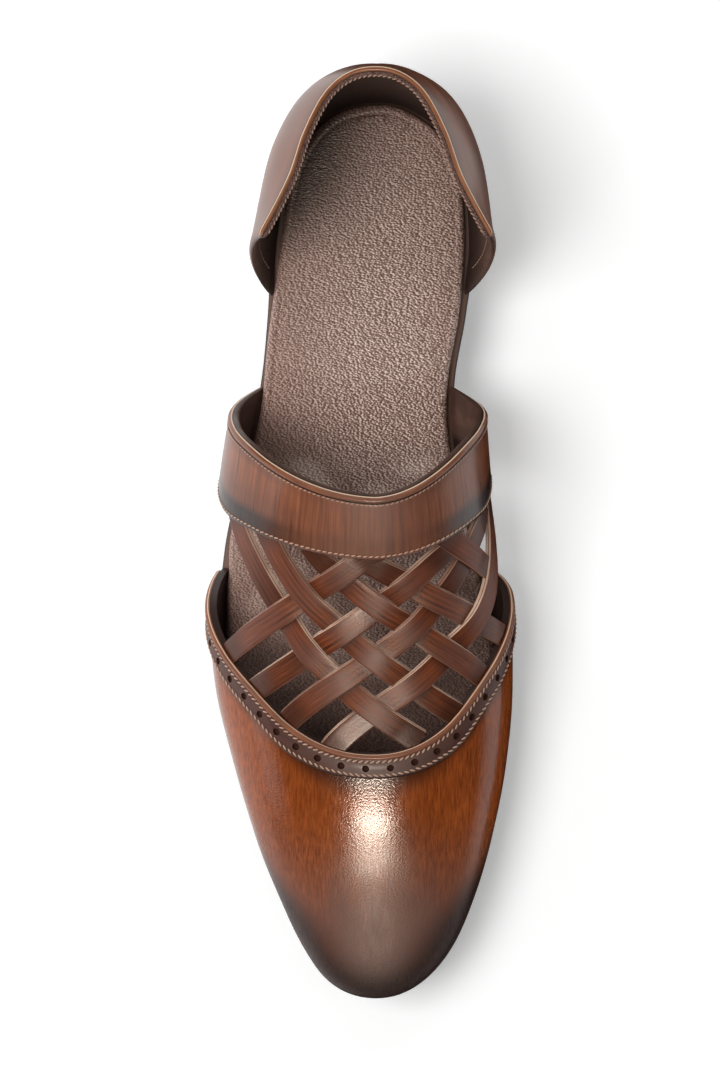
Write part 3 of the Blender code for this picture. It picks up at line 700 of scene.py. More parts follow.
footbed_leather = pebbled_leather()
fine_stations = station_of(np.linspace(0, math.pi, 320))
base = seat(fine_stations)
inset = np.stack([curve(FOOTBED_INSET, side, fine_stations) for side in (1, 2)]) / 1000
rings = [edge_ring(fine_stations, inset + 0.0004, base),
         edge_ring(fine_stations, inset, base + 0.0006)]
for angle in np.linspace(0, math.pi / 2, 7):
    rings.append(edge_ring(fine_stations, inset + WRAP_ROUND * (1 - math.cos(angle)),
                           base + FOOTBED_THICKNESS - WRAP_RISE * (1 - math.sin(angle))))
for further_in, drop in WRAP_SEAM:
    rings.append(edge_ring(fine_stations, inset + WRAP_ROUND + further_in,
                           base + FOOTBED_THICKNESS - drop))
footbed = sole_layer(
    "padded_footbed", fine_stations, rings, 16, [footbed_leather],
    crown=lambda station, share: CUSHION_CROWN * math.sin(math.pi * share), sharp=75)
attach(footbed, "root")
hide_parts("footbed")


# Vamp. The closed toe and the sides, cut from one piece of glossy brown leather that is burnished
# by hand: orange-brown over the toes, greyer towards the tip and dark along every edge. The grey at
# the tip is partly painted sheen, and the dark beside the trim is painted shade.

INSTEP_HEIGHT = 0.066
UPPER_WALL = 0.0022
FEATHER_INSET = 0.0003
SWELL_LINE = 0.80
FAN_START, FAN_END = 0.745, 0.875
SECTIONS = [  # station, swell past the sole (lateral, medial), widest height, ridge height and
    # side, fullness of the arch
    (0.28, 0.055, 0.085, 0.30, 1.16, 0.000, 1.85),
    (0.36, 0.062, 0.104, 0.30, 1.10, 0.000, 1.85),
    (0.43, 0.048, 0.092, 0.28, 1.03, 0.005, 1.90),
    (0.50, 0.030, 0.072, 0.26, 0.96, 0.005, 1.95),
    (0.57, 0.022, 0.050, 0.24, 0.87, 0.000, 2.00),
    (0.64, 0.016, 0.028, 0.22, 0.780, -0.008, 2.05),
    (0.72, 0.012, 0.020, 0.21, 0.685, -0.015, 2.10),
    (0.80, 0.014, 0.019, 0.19, 0.580, -0.016, 2.15),
    (0.87, 0.021, 0.020, 0.17, 0.485, -0.016, 2.15),
    (1.00, 0.012, 0.012, 0.15, 0.360, -0.016, 2.15),
]
CROWN = [  # station, height added along the ridge in millimetres
    (0.00, 0.0), (0.73, 0.0), (0.80, 1.2), (0.87, 0.3), (0.93, 0.0), (1.10, 0.0),
]
VAMP_EDGE = [  # place across, station
    (0.00, 0.730), (0.10, 0.726), (0.25, 0.704), (0.40, 0.662), (0.55, 0.622),
    (0.65, 0.597), (0.77, 0.569), (0.90, 0.544), (1.00, 0.527),
]


def ridge_level(station):
    return seat(station) + curve(SECTIONS, 4, station) * INSTEP_HEIGHT


def form(station, across):
    """Point of the upper's outer face: a swell above the sole, then an arch up to the ridge."""
    station, across = np.broadcast_arrays(np.asarray(station, float), np.asarray(across, float))
    side = np.where(across < 0, -1.0, 1.0)
    edge_x, edge_y = sole_edge(station, side)
    out_x, out_y = edge_outward(station, side)
    swell = np.where(side < 0, curve(SECTIONS, 1, station), curve(SECTIONS, 2, station))
    swell = swell * BALL_WIDTH
    swell_height = curve(SECTIONS, 3, station) * INSTEP_HEIGHT
    foot_x, foot_y = edge_x - out_x * FEATHER_INSET, edge_y - out_y * FEATHER_INSET
    wide_x, wide_y = edge_x + out_x * swell, edge_y + out_y * swell
    foot_z = seat(station)

    share = np.clip((station - FAN_START) / (1 - FAN_START), 0, 1)
    power = (1 - FAN_START) / (FAN_END - FAN_START)
    fan = FAN_START + (FAN_END - FAN_START) * (1 - (1 - share) ** power)
    start = np.where(station <= FAN_START, station, fan)
    ridge_x = curve(SECTIONS, 5, start) * BALL_WIDTH
    ridge_y, ridge_z = -start * SOLE_LENGTH, ridge_level(start)
    reach = 1e-3
    slope = -(ridge_level(start + reach) - ridge_level(start - reach)) / (2 * reach * SOLE_LENGTH)
    power = 2 / curve(SECTIONS, 6, start)

    distance = np.abs(across)
    up = np.clip((1 - distance) / (1 - SWELL_LINE), 0, 1)
    outward = 1 - (1 - up) ** 2
    low = (foot_x + (wide_x - foot_x) * outward, foot_y + (wide_y - foot_y) * outward,
           foot_z + swell_height * up)
    angle = np.clip(1 - distance / SWELL_LINE, 0, 1) * math.pi / 2
    along = np.clip(np.cos(angle), 0, 1) ** power
    upward = np.clip(np.sin(angle), 0, 1) ** power
    wide_z = foot_z + swell_height - slope * (wide_y - ridge_y)
    high = (ridge_x + (wide_x - ridge_x) * along, ridge_y + (wide_y - ridge_y) * along,
            wide_z + (ridge_z - wide_z) * upward + slope * (wide_y - ridge_y) * along)
    below = distance > SWELL_LINE
    return np.stack([np.where(below, a, b) for a, b in zip(low, high)], axis=-1)


def form_outward(station, across):
    reach = 2e-3
    station, across = np.broadcast_arrays(np.asarray(station, float), np.asarray(across, float))
    over = (form(station, np.clip(across + reach, -1, 1))
            - form(station, np.clip(across - reach, -1, 1)))
    along = form(station + reach, across) - form(station - reach, across)
    normal = np.cross(along, over)
    return normal / np.linalg.norm(normal, axis=-1, keepdims=True)


def burnished_leather(name, light, dark, edge, haze_and_sheen, streak=(1400, 50), by_cut=False, coat=0.35,
                      grain=0.3, gloss=0.34):
    """Dyed leather brushed with darker wax: streaks along the piece, dark where the "burnish"
    attribute is high and greyer where "haze" is. On some pieces the darkening is painted shade
    and the greying is painted sheen. streak is how fine it is across and along."""
    finish, tree, shader = new_finish(name, light, gloss, Coat_Weight=coat, Coat_Roughness=0.16)
    if by_cut:
        place, cloud_place = cut_place(tree, streak), cut_place(tree, (60, 25))
    else:
        place = own_place(tree, (streak[0], streak[1], streak[0] * 0.5))
        cloud_place = own_place(tree, (60, 22, 60))
    brush = noise(tree, place, 1.0, 5, 0.6)
    cloud = noise(tree, cloud_place, 1.0, 3)
    colour = blend_colours(tree, spread(tree, brush, 0.30, 0.66), dark, light)
    colour = blend_colours(tree, spread(tree, cloud, 0.4, 0.75, 0.0, 0.6), colour, dark)
    dulled = spread(tree, brush, 0.25, 0.75, gloss - 0.05, gloss + 0.07)
    for attribute, tone, uneven, range_low in (("haze_and_sheen", haze_and_sheen, cloud, 0.7),
                                               ("burnish_and_shade", edge, brush, 0.75)):
        amount = add_node(tree, "ShaderNodeAttribute", attribute_name=attribute).outputs["Fac"]
        wobble = spread(tree, uneven, 0.2, 0.8, range_low, 2 - range_low)
        amount = add_node(tree, "ShaderNodeMath", {0: amount, 1: wobble}, operation="MULTIPLY",
                          use_clamp=True).outputs[0]
        colour = blend_colours(tree, amount, colour, tone)
        if attribute == "haze_and_sheen":
            dulled = reckon(tree, dulled, spread(tree, amount, 0.0, 1.0, 0.0, 0.38), "ADD")
    tree.links.new(colour, shader.inputs["Base Color"])
    tree.links.new(dulled, shader.inputs["Roughness"])
    pores = noise(tree, own_place(tree), 1500, 2)
    first = bump_into(tree, shader, pores, grain, 0.00012)
    bump_into(tree, shader, brush, 0.12, 0.0001, first)
    return finish


def grid_faces(rows, columns):
    return [(at, at + 1, at + columns + 1, at + columns)
            for i in range(rows - 1) for at in range(i * columns, (i + 1) * columns - 1)]


vamp_leather = burnished_leather(
    "Burnished vamp leather", light=(0.350, 0.078, 0.012), dark=(0.130, 0.027, 0.006),
    edge=(0.018, 0.007, 0.005), haze_and_sheen=(0.125, 0.058, 0.042), streak=(1900, 30), coat=0.0,
    gloss=0.17, grain=0.45)
lining = burnished_leather(
    "Upper lining", light=(0.120, 0.060, 0.042), dark=(0.060, 0.030, 0.022),
    edge=(0.02, 0.01, 0.008), haze_and_sheen=(0.08, 0.05, 0.04), streak=(260, 260), coat=0.0)

rows = np.concatenate([np.linspace(1, SWELL_LINE, 9), np.linspace(SWELL_LINE, 0, 44)[1:]])
rows = rows[:, None]
edge = curve(VAMP_EDGE, 1, rows, squared)
share = np.linspace(0, 1, 100)[None, :]
places = station_of(turn(edge) + (math.pi - turn(edge)) * share)
points = np.concatenate([form(places, -rows - 1e-9),
                         form(places[:, ::-1], rows + 1e-9)[:, 1:]], axis=1)
both = np.concatenate([places, places[:, ::-1][:, 1:]], axis=1)
ahead = -points[..., 1] / SOLE_LENGTH
# Burnish lies up from the sole, higher beside the toe, and round the tip; beside the trim the
# darkening is painted shade.
wider_at_toe = 0.40 * smooth_step((ahead - 0.80) / 0.14)
near_sole = smooth_step((rows - 0.64 + wider_at_toe) / 0.32) * 0.9
near_tip = smooth_step((ahead - 0.945) / 0.05) * 0.75
points[..., 2] += curve(CROWN, 1, ahead) / 1000 * np.exp(-(rows / 0.55) ** 2)
# Painted shade beside the trim.
trim_shade = smooth_step(1 - (both - edge - 0.026) / 0.034) * 0.8
vamp = new_piece("vamp", points, grid_faces(len(rows), points.shape[1]), [vamp_leather, lining],
                 tones={"burnish_and_shade": np.maximum(np.maximum(near_sole, near_tip), trim_shade),
                        # The toe grows greyer towards the tip: partly a duller wax, partly painted
                        # sheen.
                        "haze_and_sheen": smooth_step((ahead - 0.78) / 0.16) * 0.85}, closed=False)
wall = vamp.modifiers.new("Wall", "SOLIDIFY")
wall.thickness, wall.offset, wall.use_even_offset = UPPER_WALL, -1, True
wall.material_offset, wall.material_offset_rim = 1, 1
settle(vamp)
vamp.data.set_sharp_from_angle(angle=math.radians(50))
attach(vamp, "root")
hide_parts("upper")


# Weave. Nine strips of two plies glued back to back, 8 mm wide, laid over and under each other
# by hand. Their cut edges stay raw and show both light plies with a dark line of glue between;
# on the side towards the toe they are painted darker as shade.

# The strips get painted shade where they pass under another strip and near their ends, which tuck
# under the band and the trim, and a painted sheen where they bow up.
STRIP_LIFT, LIFT_FADE, TUCK_LENGTH, END_SHADE_LENGTH = 0.0009, 0.0060, 0.0050, 0.009
UNDER_SHADE, END_SHADE, TOP_SHEEN = 0.55, 0.62, 0.35
NEAR_CROSSING = 0.004  # furthest that two strips' lines are apart where they cross
SLANT_STRIPS = [  # four places on each strip, as station and place across
    ((0.614, -0.512), (0.583, -0.331), (0.551, -0.179), (0.517, -0.036)),
    ((0.654, -0.378), (0.613, -0.169), (0.569, 0.019), (0.519, 0.278)),
    ((0.686, -0.256), (0.630, -0.013), (0.562, 0.274), (0.478, 0.586)),
    ((0.718, -0.117), (0.650, 0.162), (0.569, 0.491), (0.462, 0.715)),
]
CROSS_STRIPS = [
    ((0.470, -0.547), (0.564, -0.332), (0.646, -0.126), (0.709, 0.124)),
    ((0.488, -0.382), (0.567, -0.194), (0.632, 0.024), (0.683, 0.299)),
    ((0.516, -0.182), (0.566, -0.006), (0.607, 0.210), (0.644, 0.450)),
    ((0.527, -0.003), (0.559, 0.215), (0.584, 0.426), (0.605, 0.660)),
    ((0.497, 0.330), (0.509, 0.405), (0.520, 0.475), (0.531, 0.560)),
]
SLANT_ORDER, CROSS_ORDER = (0, 1, 2, 3), (0, 1, 2, 3, 5)
STRIP_PROFILE = [  # millimetres across, up on the face and on the back, finish of the side after
    (-3.80, 0.06, -0.06, "shaded"), (-3.92, 0.30, -0.30, "shaded"), (-3.90, 0.60, -0.60, "shaded"),
    (-3.78, 0.76, -0.72, "face"), (-3.40, 0.82, -0.78, "face"), (-2.20, 0.85, -0.85, "face"),
    (0.00, 0.87, -0.85, "face"), (2.20, 0.85, -0.85, "face"), (3.30, 0.82, -0.85, "face"),
    (3.60, 0.76, -0.85, "raw"), (3.80, 0.18, -0.85, "glue"), (3.90, 0.02, -0.85, "raw"),
    (4.10, -0.60, -0.85, "raw"), (4.12, -0.80, -0.85, "raw"),
]


def lofted(name, outer, inner, finishes, outer_slots, inner_slots, edge_slots=(0, 0), tones=None,
           sharp=50):
    """Closed bar through cross-sections. Each has an outer and an inner row of as many points,
    and the two rows are joined along their ends, where edge_slots gives the finish."""
    count, width = outer.shape[:2]
    inner_slots = inner_slots if isinstance(inner_slots, list) else [inner_slots] * (width - 1)
    sections = np.concatenate([outer, inner[:, ::-1]], axis=1)
    size = 2 * width
    slots_round = outer_slots + [edge_slots[1]] + inner_slots[::-1] + [edge_slots[0]]
    looped = np.concatenate([sections, sections[:, :1]], axis=1)
    steps = np.linalg.norm(np.diff(looped, axis=1), axis=2).mean(axis=0)
    around = np.concatenate([[0.0], np.cumsum(steps)])
    middle = sections.mean(axis=1)
    along = np.concatenate([[0.0], np.cumsum(np.linalg.norm(np.diff(middle, axis=0), axis=1))])
    faces, slots = ring_sides(count, size), slots_round * (count - 1)
    uv = [(around[j + over], along[k + ahead]) for k in range(count - 1) for j in range(size)
          for over, ahead in ((0, 0), (1, 0), (1, 1), (0, 1))]
    for k in (0, count - 1):
        for j in range(width - 1):
            corners = (j, j + 1, size - 2 - j, size - 1 - j)
            faces.append(tuple(k * size + corner for corner in corners))
            slots.append(inner_slots[j])
            uv += [(around[corner], along[k]) for corner in corners]
    spread_tones = {tone: np.concatenate([value, value[:, ::-1]], axis=1)
                    for tone, value in (tones or {}).items()}
    return new_piece(name, sections, faces, finishes, slots, uv, spread_tones, sharp)


def side_slots(profile, finishes):
    """Number of the finish that each row of a profile names for the side after it."""
    return [finishes.index(row[-1]) for row in profile[:-1]]


def strip_route(places, share):
    """Cubic through the four places of a strip, at shares of the way along it."""
    known = (0.0, 1 / 3, 2 / 3, 1.0)
    route = 0
    for own, place in zip(known, places):
        pull = np.prod([(share - other) / (own - other) for other in known if other != own], axis=0)
        route = route + pull[..., None] * np.array(place)
    return route


def crossing(first, second):
    share = np.linspace(0, 1, 121)
    a, b = strip_route(first, share), strip_route(second, share)
    gap = np.hypot(a[:, None, 0] - b[None, :, 0], (a[:, None, 1] - b[None, :, 1]) / 4)
    i, j = np.unravel_index(np.argmin(gap), gap.shape)
    return share[i] if gap[i, j] < NEAR_CROSSING else None


def weave_sides(places, order, others, other_order, sign):
    """A strip's crossings, as share along it and side: 1 over, -1 under, by turns."""
    row = []
    for other, j in zip(others, other_order):
        met = crossing(places, other)
        if met is not None and 0 < met < 1:
            row.append((met, sign * (-1) ** (order + j)))
    return sorted(row)


def strip(name, places, sides, finishes):
    route = strip_route(places, np.linspace(0, 1, 60))
    line = form(route[:, 0], route[:, 1])
    length = np.linalg.norm(np.diff(line, axis=0), axis=1).sum()
    tuck = TUCK_LENGTH / length
    share = np.linspace(-tuck, 1 + tuck, 110)
    known = np.array([-tuck, 0.0] + [side[0] for side in sides] + [1.0, 1 + tuck])
    value = np.array([0.0, 0.0] + [side[1] for side in sides] + [0.0, 0.0])
    i = np.clip(np.searchsorted(known, share) - 1, 0, len(known) - 2)
    step = smooth_step((share - known[i]) / (known[i + 1] - known[i]))
    from_end = np.minimum(share, 1 - share) * length
    height = smooth_step(from_end / LIFT_FADE) * (value[i] + (value[i + 1] - value[i]) * step)
    route = strip_route(places, share)
    outward = form_outward(route[:, 0], route[:, 1])
    middle = form(route[:, 0], route[:, 1])
    middle = middle + outward * (STRIP_LIFT * height - UPPER_WALL / 2)[:, None]
    wide = np.cross(outward, np.gradient(middle, axis=0))
    wide /= np.linalg.norm(wide, axis=1, keepdims=True)
    wide *= np.sign(wide[:, 1].sum())
    side, up, down = (np.array([row[i] for row in STRIP_PROFILE]) / 1000 for i in range(3))
    outer, inner = (middle[:, None] + wide[:, None] * side[None, :, None]
                    + outward[:, None] * rise[None, :, None] for rise in (up, down))
    # Painted shade under crossings and at the tucked ends.
    dark = UNDER_SHADE * np.clip(-height, 0, 1)
    dark += END_SHADE * smooth_step(1 - from_end / END_SHADE_LENGTH)
    # Painted sheen where the strip bows up over another.
    bowed_sheen = TOP_SHEEN * np.clip(height, 0, 1)
    whole = np.ones((1, len(STRIP_PROFILE)))
    slots = side_slots(STRIP_PROFILE, ("face", "raw", "glue", "shaded"))
    return lofted(name, outer, inner, finishes, slots, 0, (2, 1),
                  {"burnish_and_shade": np.clip(dark, 0, 1)[:, None] * whole,
                   "haze_and_sheen": bowed_sheen[:, None] * whole})


strip_leather = burnished_leather(
    "Woven strip leather", light=(0.235, 0.050, 0.009), dark=(0.040, 0.009, 0.004),
    edge=(0.018, 0.006, 0.004), haze_and_sheen=(0.110, 0.044, 0.032), streak=(1300, 50), by_cut=True,
    coat=0.0, gloss=0.34)
raw_edge, raw_tree, raw_shader = new_finish("Raw cut leather", (0.55, 0.34, 0.23), 0.7)
wax = noise(raw_tree, own_place(raw_tree), 45, 3)
two_tones(raw_tree, raw_shader, spread(raw_tree, wax, 0.40, 0.62), (0.300, 0.150, 0.100),
          (0.640, 0.430, 0.310))
# The cut edges that face the toe are painted darker than the raw ones that face the heel, as shade.
shaded_cut_edge = new_finish("Shaded cut leather", (0.26, 0.12, 0.07), 0.7)[0]
glue_line = new_finish("Glue between plies", (0.030, 0.012, 0.008), 0.6)[0]
for family, strips, order, others, other_order, sign in (
    ("slant", SLANT_STRIPS, SLANT_ORDER, CROSS_STRIPS, CROSS_ORDER, 1),
    ("cross", CROSS_STRIPS, CROSS_ORDER, SLANT_STRIPS, SLANT_ORDER, -1),
):
    for number, (route_places, place_in_order) in enumerate(zip(strips, order), 1):
        piece = strip(f"{family}_strip_{number}", route_places,
                      weave_sides(route_places, place_in_order, others, other_order, sign),
                      [strip_leather, raw_edge, glue_line, shaded_cut_edge])
        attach(piece, "root")
        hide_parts("upper")


# Instep band. A wide strap over the instep, folded over a rolled orange-brown edge at the back
# and stitched down beside it. Its front edge is turned and stitched over the weave's ends.

BAND_STEP, BAND_WALL, BAND_SEAM_REACH = 0.0008, 0.0032, 0.985
BAND_REAR = [(0.00, 0.449), (0.20, 0.438), (0.43, 0.406), (0.65, 0.376), (0.80, 0.358),
             (1.00, 0.326)]  # distance across, station
BAND_FRONT = [(0.00, 0.517), (0.20, 0.509), (0.41, 0.489), (0.60, 0.469), (0.80, 0.438),
              (1.00, 0.404)]
# The light row under the rolled rear edge is a painted highlight along the roll.
BAND_PROFILE = [  # edge that the distance is from, millimetres in from it and up, finish after it
    ("rear", 0.00, -1.30, "dark"), ("rear", 0.08, -0.80, "light"), ("rear", 0.22, -0.35, "roll"),
    ("rear", 0.60, 0.22, "roll"), ("rear", 1.10, 0.45, "roll"), ("rear", 1.65, 0.38, "roll"),
    ("rear", 2.10, 0.05, "dark"), ("rear", 2.25, -0.22, "dark"), ("rear", 2.55, -0.05, "face"),
    ("rear", 3.20, 0.02, "face"), ("rear", 4.40, 0.06, "face"), ("rear", 6.50, 0.10, "face"),
    ("rear", 9.00, 0.12, "face"), ("front", 9.00, 0.12, "face"), ("front", 6.00, 0.10, "face"),
    ("front", 4.00, 0.06, "face"), ("front", 2.40, -0.04, "face"), ("front", 1.40, -0.02, "face"),
    ("front", 0.75, -0.12, "face"), ("front", 0.35, -0.32, "dark"), ("front", 0.08, -0.70, "dark"),
    ("front", 0.00, -1.10, "dark"),
]


def band_point(across, edge, inward, lift):
    """Place on the band, by millimetres in from its rear or front edge and up from its face."""
    rear, front = curve(BAND_REAR, 1, across, squared), curve(BAND_FRONT, 1, across, squared)
    width = np.linalg.norm(form(front, across) - form(rear, across), axis=-1)
    share = inward / 1000 / width
    share = share if edge == "rear" else 1 - share
    station = rear + (front - rear) * share
    rise = (BAND_STEP + np.asarray(lift) / 1000)[..., None]
    point = form(station, across) + form_outward(station, across) * rise
    point[..., 2] = np.maximum(point[..., 2], seat(station))
    return point


roll_leather = burnished_leather(
    "Rolled orange-brown edge", light=(0.330, 0.098, 0.026), dark=(0.160, 0.044, 0.015),
    edge=(0.03, 0.012, 0.008), haze_and_sheen=(0.1, 0.05, 0.04), streak=(400, 120), by_cut=True, coat=0.3)
# One light finish: a real cut line on the trim and the counter, a painted highlight under the
# band's rolled edge.
light_line_and_highlight = new_finish("Light cut line and painted highlight", (0.66, 0.47, 0.33), 0.6)[0]
dark_edge = new_finish("Dark painted edge", (0.012, 0.007, 0.006), 0.4)[0]
band_leather = burnished_leather(
    "Burnished band leather", light=(0.330, 0.088, 0.022), dark=(0.095, 0.026, 0.010),
    edge=(0.014, 0.007, 0.006), haze_and_sheen=(0.20, 0.095, 0.070), streak=(40, 900), by_cut=True,
    coat=0.20, gloss=0.30)
eased = np.sin(np.linspace(-math.pi / 2, math.pi / 2, 150))
across = 0.5 * eased + 0.5 * np.linspace(-1, 1, 150)
outer = np.stack([band_point(across, *row[:3]) for row in BAND_PROFILE], axis=1)
under = np.full(len(BAND_PROFILE), -BAND_WALL * 1000)
under[:2], under[-2:] = (-2.2, -2.9), (-2.9, -2.2)
skived = smooth_step((np.abs(across) - 0.7) / 0.3)
inner = np.stack([band_point(across, row[0], row[1], low + skived)
                  for row, low in zip(BAND_PROFILE, under)], axis=1)
at_front = np.array([1.0 if row[0] == "front" and row[1] < 7 else 0.35 for row in BAND_PROFILE])
at_front *= np.array([0.25 if row[0] == "rear" and row[1] > 5 else 1.0 for row in BAND_PROFILE])
at_side = 0.20 + 0.80 * smooth_step((np.abs(across) - 0.12) / 0.35)
# The band darkens towards its sides and its front edge, and its middle is greyed with a painted
# sheen.
band = lofted("instep_band", outer, inner,
              [band_leather, roll_leather, light_line_and_highlight, dark_edge, lining],
              side_slots(BAND_PROFILE, ("face", "roll", "light", "dark")), 4, (4, 3), {
                  "burnish_and_shade": 0.95 * at_side[:, None] * at_front[None, :],
                  "haze_and_sheen": 0.45 * smooth_step(1 - np.abs(across) / 0.45)[:, None]
                  * np.ones((1, len(BAND_PROFILE)))})
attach(band, "root")
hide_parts("upper")

tan_thread = new_finish("Tan sewing thread", (0.46, 0.28, 0.19), 0.5)[0]
brown_thread = new_finish("Brown sewing thread", (0.36, 0.21, 0.15), 0.6)[0]


def outward_of(line, below):
    gap = line - below
    return gap / np.linalg.norm(gap, axis=-1, keepdims=True)


def seam(name, line, up, thread, pitch, length, thickness, slant=0.0, flatness=0.7):
    """One row of stitches along a line, run by the stitch tree."""
    row = made_by(line_mesh(name, [line], [up]), stitch_run, Pitch=pitch, Length=length,
                  Thickness=thickness, Flatness=flatness, Slant=slant, Thread=thread)
    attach(row, "root")
    return row


seam_across = np.linspace(-BAND_SEAM_REACH, BAND_SEAM_REACH, 240)
for name, edge, inward, lift, thread, pitch in (
    ("band_rear_stitches", "rear", 2.85, 0.18, brown_thread, 0.0016),
    ("band_front_stitches", "front", 1.5, 0.06, tan_thread, 0.0019),
):
    line = band_point(seam_across, edge, inward, lift)
    seam(name, line, outward_of(line, band_point(seam_across, edge, inward, lift - 1)), thread,
         pitch, pitch * 0.85, 0.0006, slant=0.25)


# Trim. A dark strip laid on the vamp along its topline, with a piped orange-brown edge, two rows
# of slanted stitches and a row of punched holes between them, whose cut sides are coloured dark
# and dull as painted shade inside the holes.

TRIM_FOOT, TRIM_SEAM_REACH = 0.98, 0.965
TRIM_PROFILE = [  # millimetres in from the topline and up from the vamp, finish of the side after
    (0.00, 0.10, "roll"), (0.02, 0.55, "light"), (0.14, 0.92, "roll"), (0.45, 1.40, "roll"),
    (0.90, 1.62, "roll"), (1.40, 1.52, "roll"), (1.70, 1.22, "face"), (2.00, 1.22, "face"),
    (2.40, 1.34, "face"), (3.10, 1.42, "face"), (4.40, 1.46, "face"), (5.60, 1.42, "face"),
    (6.60, 1.34, "face"), (7.40, 1.34, "face"), (7.85, 1.22, "dark"), (8.18, 0.90, "dark"),
    (8.30, 0.50, "dark"), (8.30, 0.10, "dark"),
]
HOLE_PITCH, HOLE_PLACE = 0.0077, 4.6
HOLE_TOP, HOLE_BOTTOM, PUNCH_DEPTH, HOLES_REACH = 0.00128, 0.00112, 0.0018, 0.93


def trim_point(across, inward, lift):
    """Place on the trim, by millimetres in from the topline and up from the vamp's face."""
    edge = curve(VAMP_EDGE, 1, across, squared)
    reach = 0.01
    before, after = (form(curve(VAMP_EDGE, 1, beside, squared), beside)
                     for beside in (across - reach, across + reach))
    tangent = after - before
    tangent /= np.linalg.norm(tangent, axis=-1, keepdims=True)
    ahead = form(edge + reach, across) - form(edge, across)
    lean = (ahead * tangent).sum(axis=-1, keepdims=True)
    station = edge + inward / 1000 * reach / np.linalg.norm(ahead - tangent * lean, axis=-1)
    return form(station, across) + form_outward(station, across) * lift / 1000


trim_leather = burnished_leather(
    "Dark trim leather", light=(0.105, 0.030, 0.017), dark=(0.050, 0.014, 0.009),
    edge=(0.012, 0.006, 0.005), haze_and_sheen=(0.08, 0.04, 0.035), streak=(300, 60), by_cut=True, coat=0.05,
    gloss=0.42)
# The sides of the holes are painted dark and dull as the shade inside them.
hole_shade = new_finish("Side of a punched hole", (0.050, 0.020, 0.013), 0.9,
                       Specular_IOR_Level=0.1)[0]
across = 0.5 * TRIM_FOOT * (eased + np.linspace(-1, 1, 150))
outer = np.stack([trim_point(across, *row[:2]) for row in TRIM_PROFILE], axis=1)
inner = np.stack([trim_point(across, row[0], 0.05) for row in TRIM_PROFILE], axis=1)
trim = lofted("punched_trim", outer, inner,
              [trim_leather, roll_leather, light_line_and_highlight, dark_edge, hole_shade],
              side_slots(TRIM_PROFILE, ("face", "roll", "light", "dark")), 3,
              tones={"burnish_and_shade": np.full(outer.shape[:2], 0.1),
                     "haze_and_sheen": np.full(outer.shape[:2], 0.2)})


def punch_tree():
    """Geometry Nodes: one tapered punch at a set pitch along the strip, square to it."""
    tree, given, line = new_tree("Punches along a strip", "Line",
                                 ("Pitch", "Top", "Bottom", "Depth"), "Cut", "Punches")
    cone = add_node(tree, "GeometryNodeMeshCone", {
        "Radius Top": given["Top"], "Radius Bottom": given["Bottom"], "Depth": given["Depth"]},
        {"Vertices": 20})
    facing = add_node(tree, "FunctionNodeAlignRotationToVector", {"Vector": upward_mark(tree)},
                      axis="Z")
    copies = copies_along(tree, line, given["Pitch"], cone.outputs["Mesh"],
                          facing.outputs["Rotation"])
    return end_tree(tree, copies, given["Cut"], "Punches")


hole_across = np.linspace(-HOLES_REACH, HOLES_REACH, 300)
line = trim_point(hole_across, HOLE_PLACE, 0.35)
up = outward_of(trim_point(hole_across, HOLE_PLACE, 1.4), line)
punches = made_by(line_mesh("punches", [line], [up]), punch_tree(), Pitch=HOLE_PITCH,
                  Top=HOLE_TOP, Bottom=HOLE_BOTTOM, Depth=PUNCH_DEPTH, Cut=hole_shade)
cut = trim.modifiers.new("Holes", "BOOLEAN")
cut.operation, cut.solver, cut.object = "DIFFERENCE", "EXACT", punches
cut.material_mode = "TRANSFER"
settle(trim)
bpy.data.objects.remove(punches)
trim.data.set_sharp_from_angle(angle=math.radians(45))
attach(trim, "root")
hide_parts("brogue_trim")

row_across = np.linspace(-TRIM_SEAM_REACH, TRIM_SEAM_REACH, 400)
for name, inward, lift, pitch, slant in (
    ("trim_inner_stitches", 2.25, 1.42, 0.0019, 0.55),
    ("trim_outer_stitches", 6.95, 1.46, 0.0020, -0.45),
):
    line = trim_point(row_across, inward, lift)
    seam(name, line, outward_of(line, trim_point(row_across, inward, lift - 1)), tan_thread,
         pitch, pitch * 0.95, 0.00065, slant)


# Heel counter. A stiff cup round the heel with a wing on each side, lined in brown leather. The
# topline is a painted orange-brown edge with a fuzzy stitched lining edge inside it.

COUNTER_WALL, COUNTER_HEIGHT, COUNTER_INSET, COUNTER_END = 0.0034, 0.056, 0.0005, 0.225
FOOT_SKIVE = 0.0018
LINING_SEAM_ROW, WING_SEAM_COLUMN = 22, 6
TIP_ROUND = np.array([0.55, 0.28, 0.10, 0.02, 0.0])  # share of half the wall, at a wing's edge
COUNTER = [  # station of the foot, station and half width of the topline, bow and height as shares
    (0.000, -0.014, 0.000, 0.040, 1.00),
    (0.012, -0.006, 0.100, 0.048, 1.00),
    (0.040, 0.014, 0.170, 0.056, 0.99),
    (0.090, 0.056, 0.240, 0.060, 0.965),
    (0.160, 0.108, 0.300, 0.066, 0.90),
    (0.225, 0.165, 0.396, 0.055, 0.83),
]
RIM_OUTER = [  # millimetres in from the outer face and up from the topline, finish after it
    (0.02, -0.34, "dark"), (0.05, -0.08, "light"), (0.28, 0.20, "edge"), (1.00, 0.30, "edge"),
    (1.62, 0.04, "dark"), (1.74, -0.16, "dark"),
]
RIM_INNER = [(3.40, -0.95), (3.32, -0.35), (3.05, 0.00), (2.60, 0.14), (2.10, 0.06), (1.84, -0.16)]


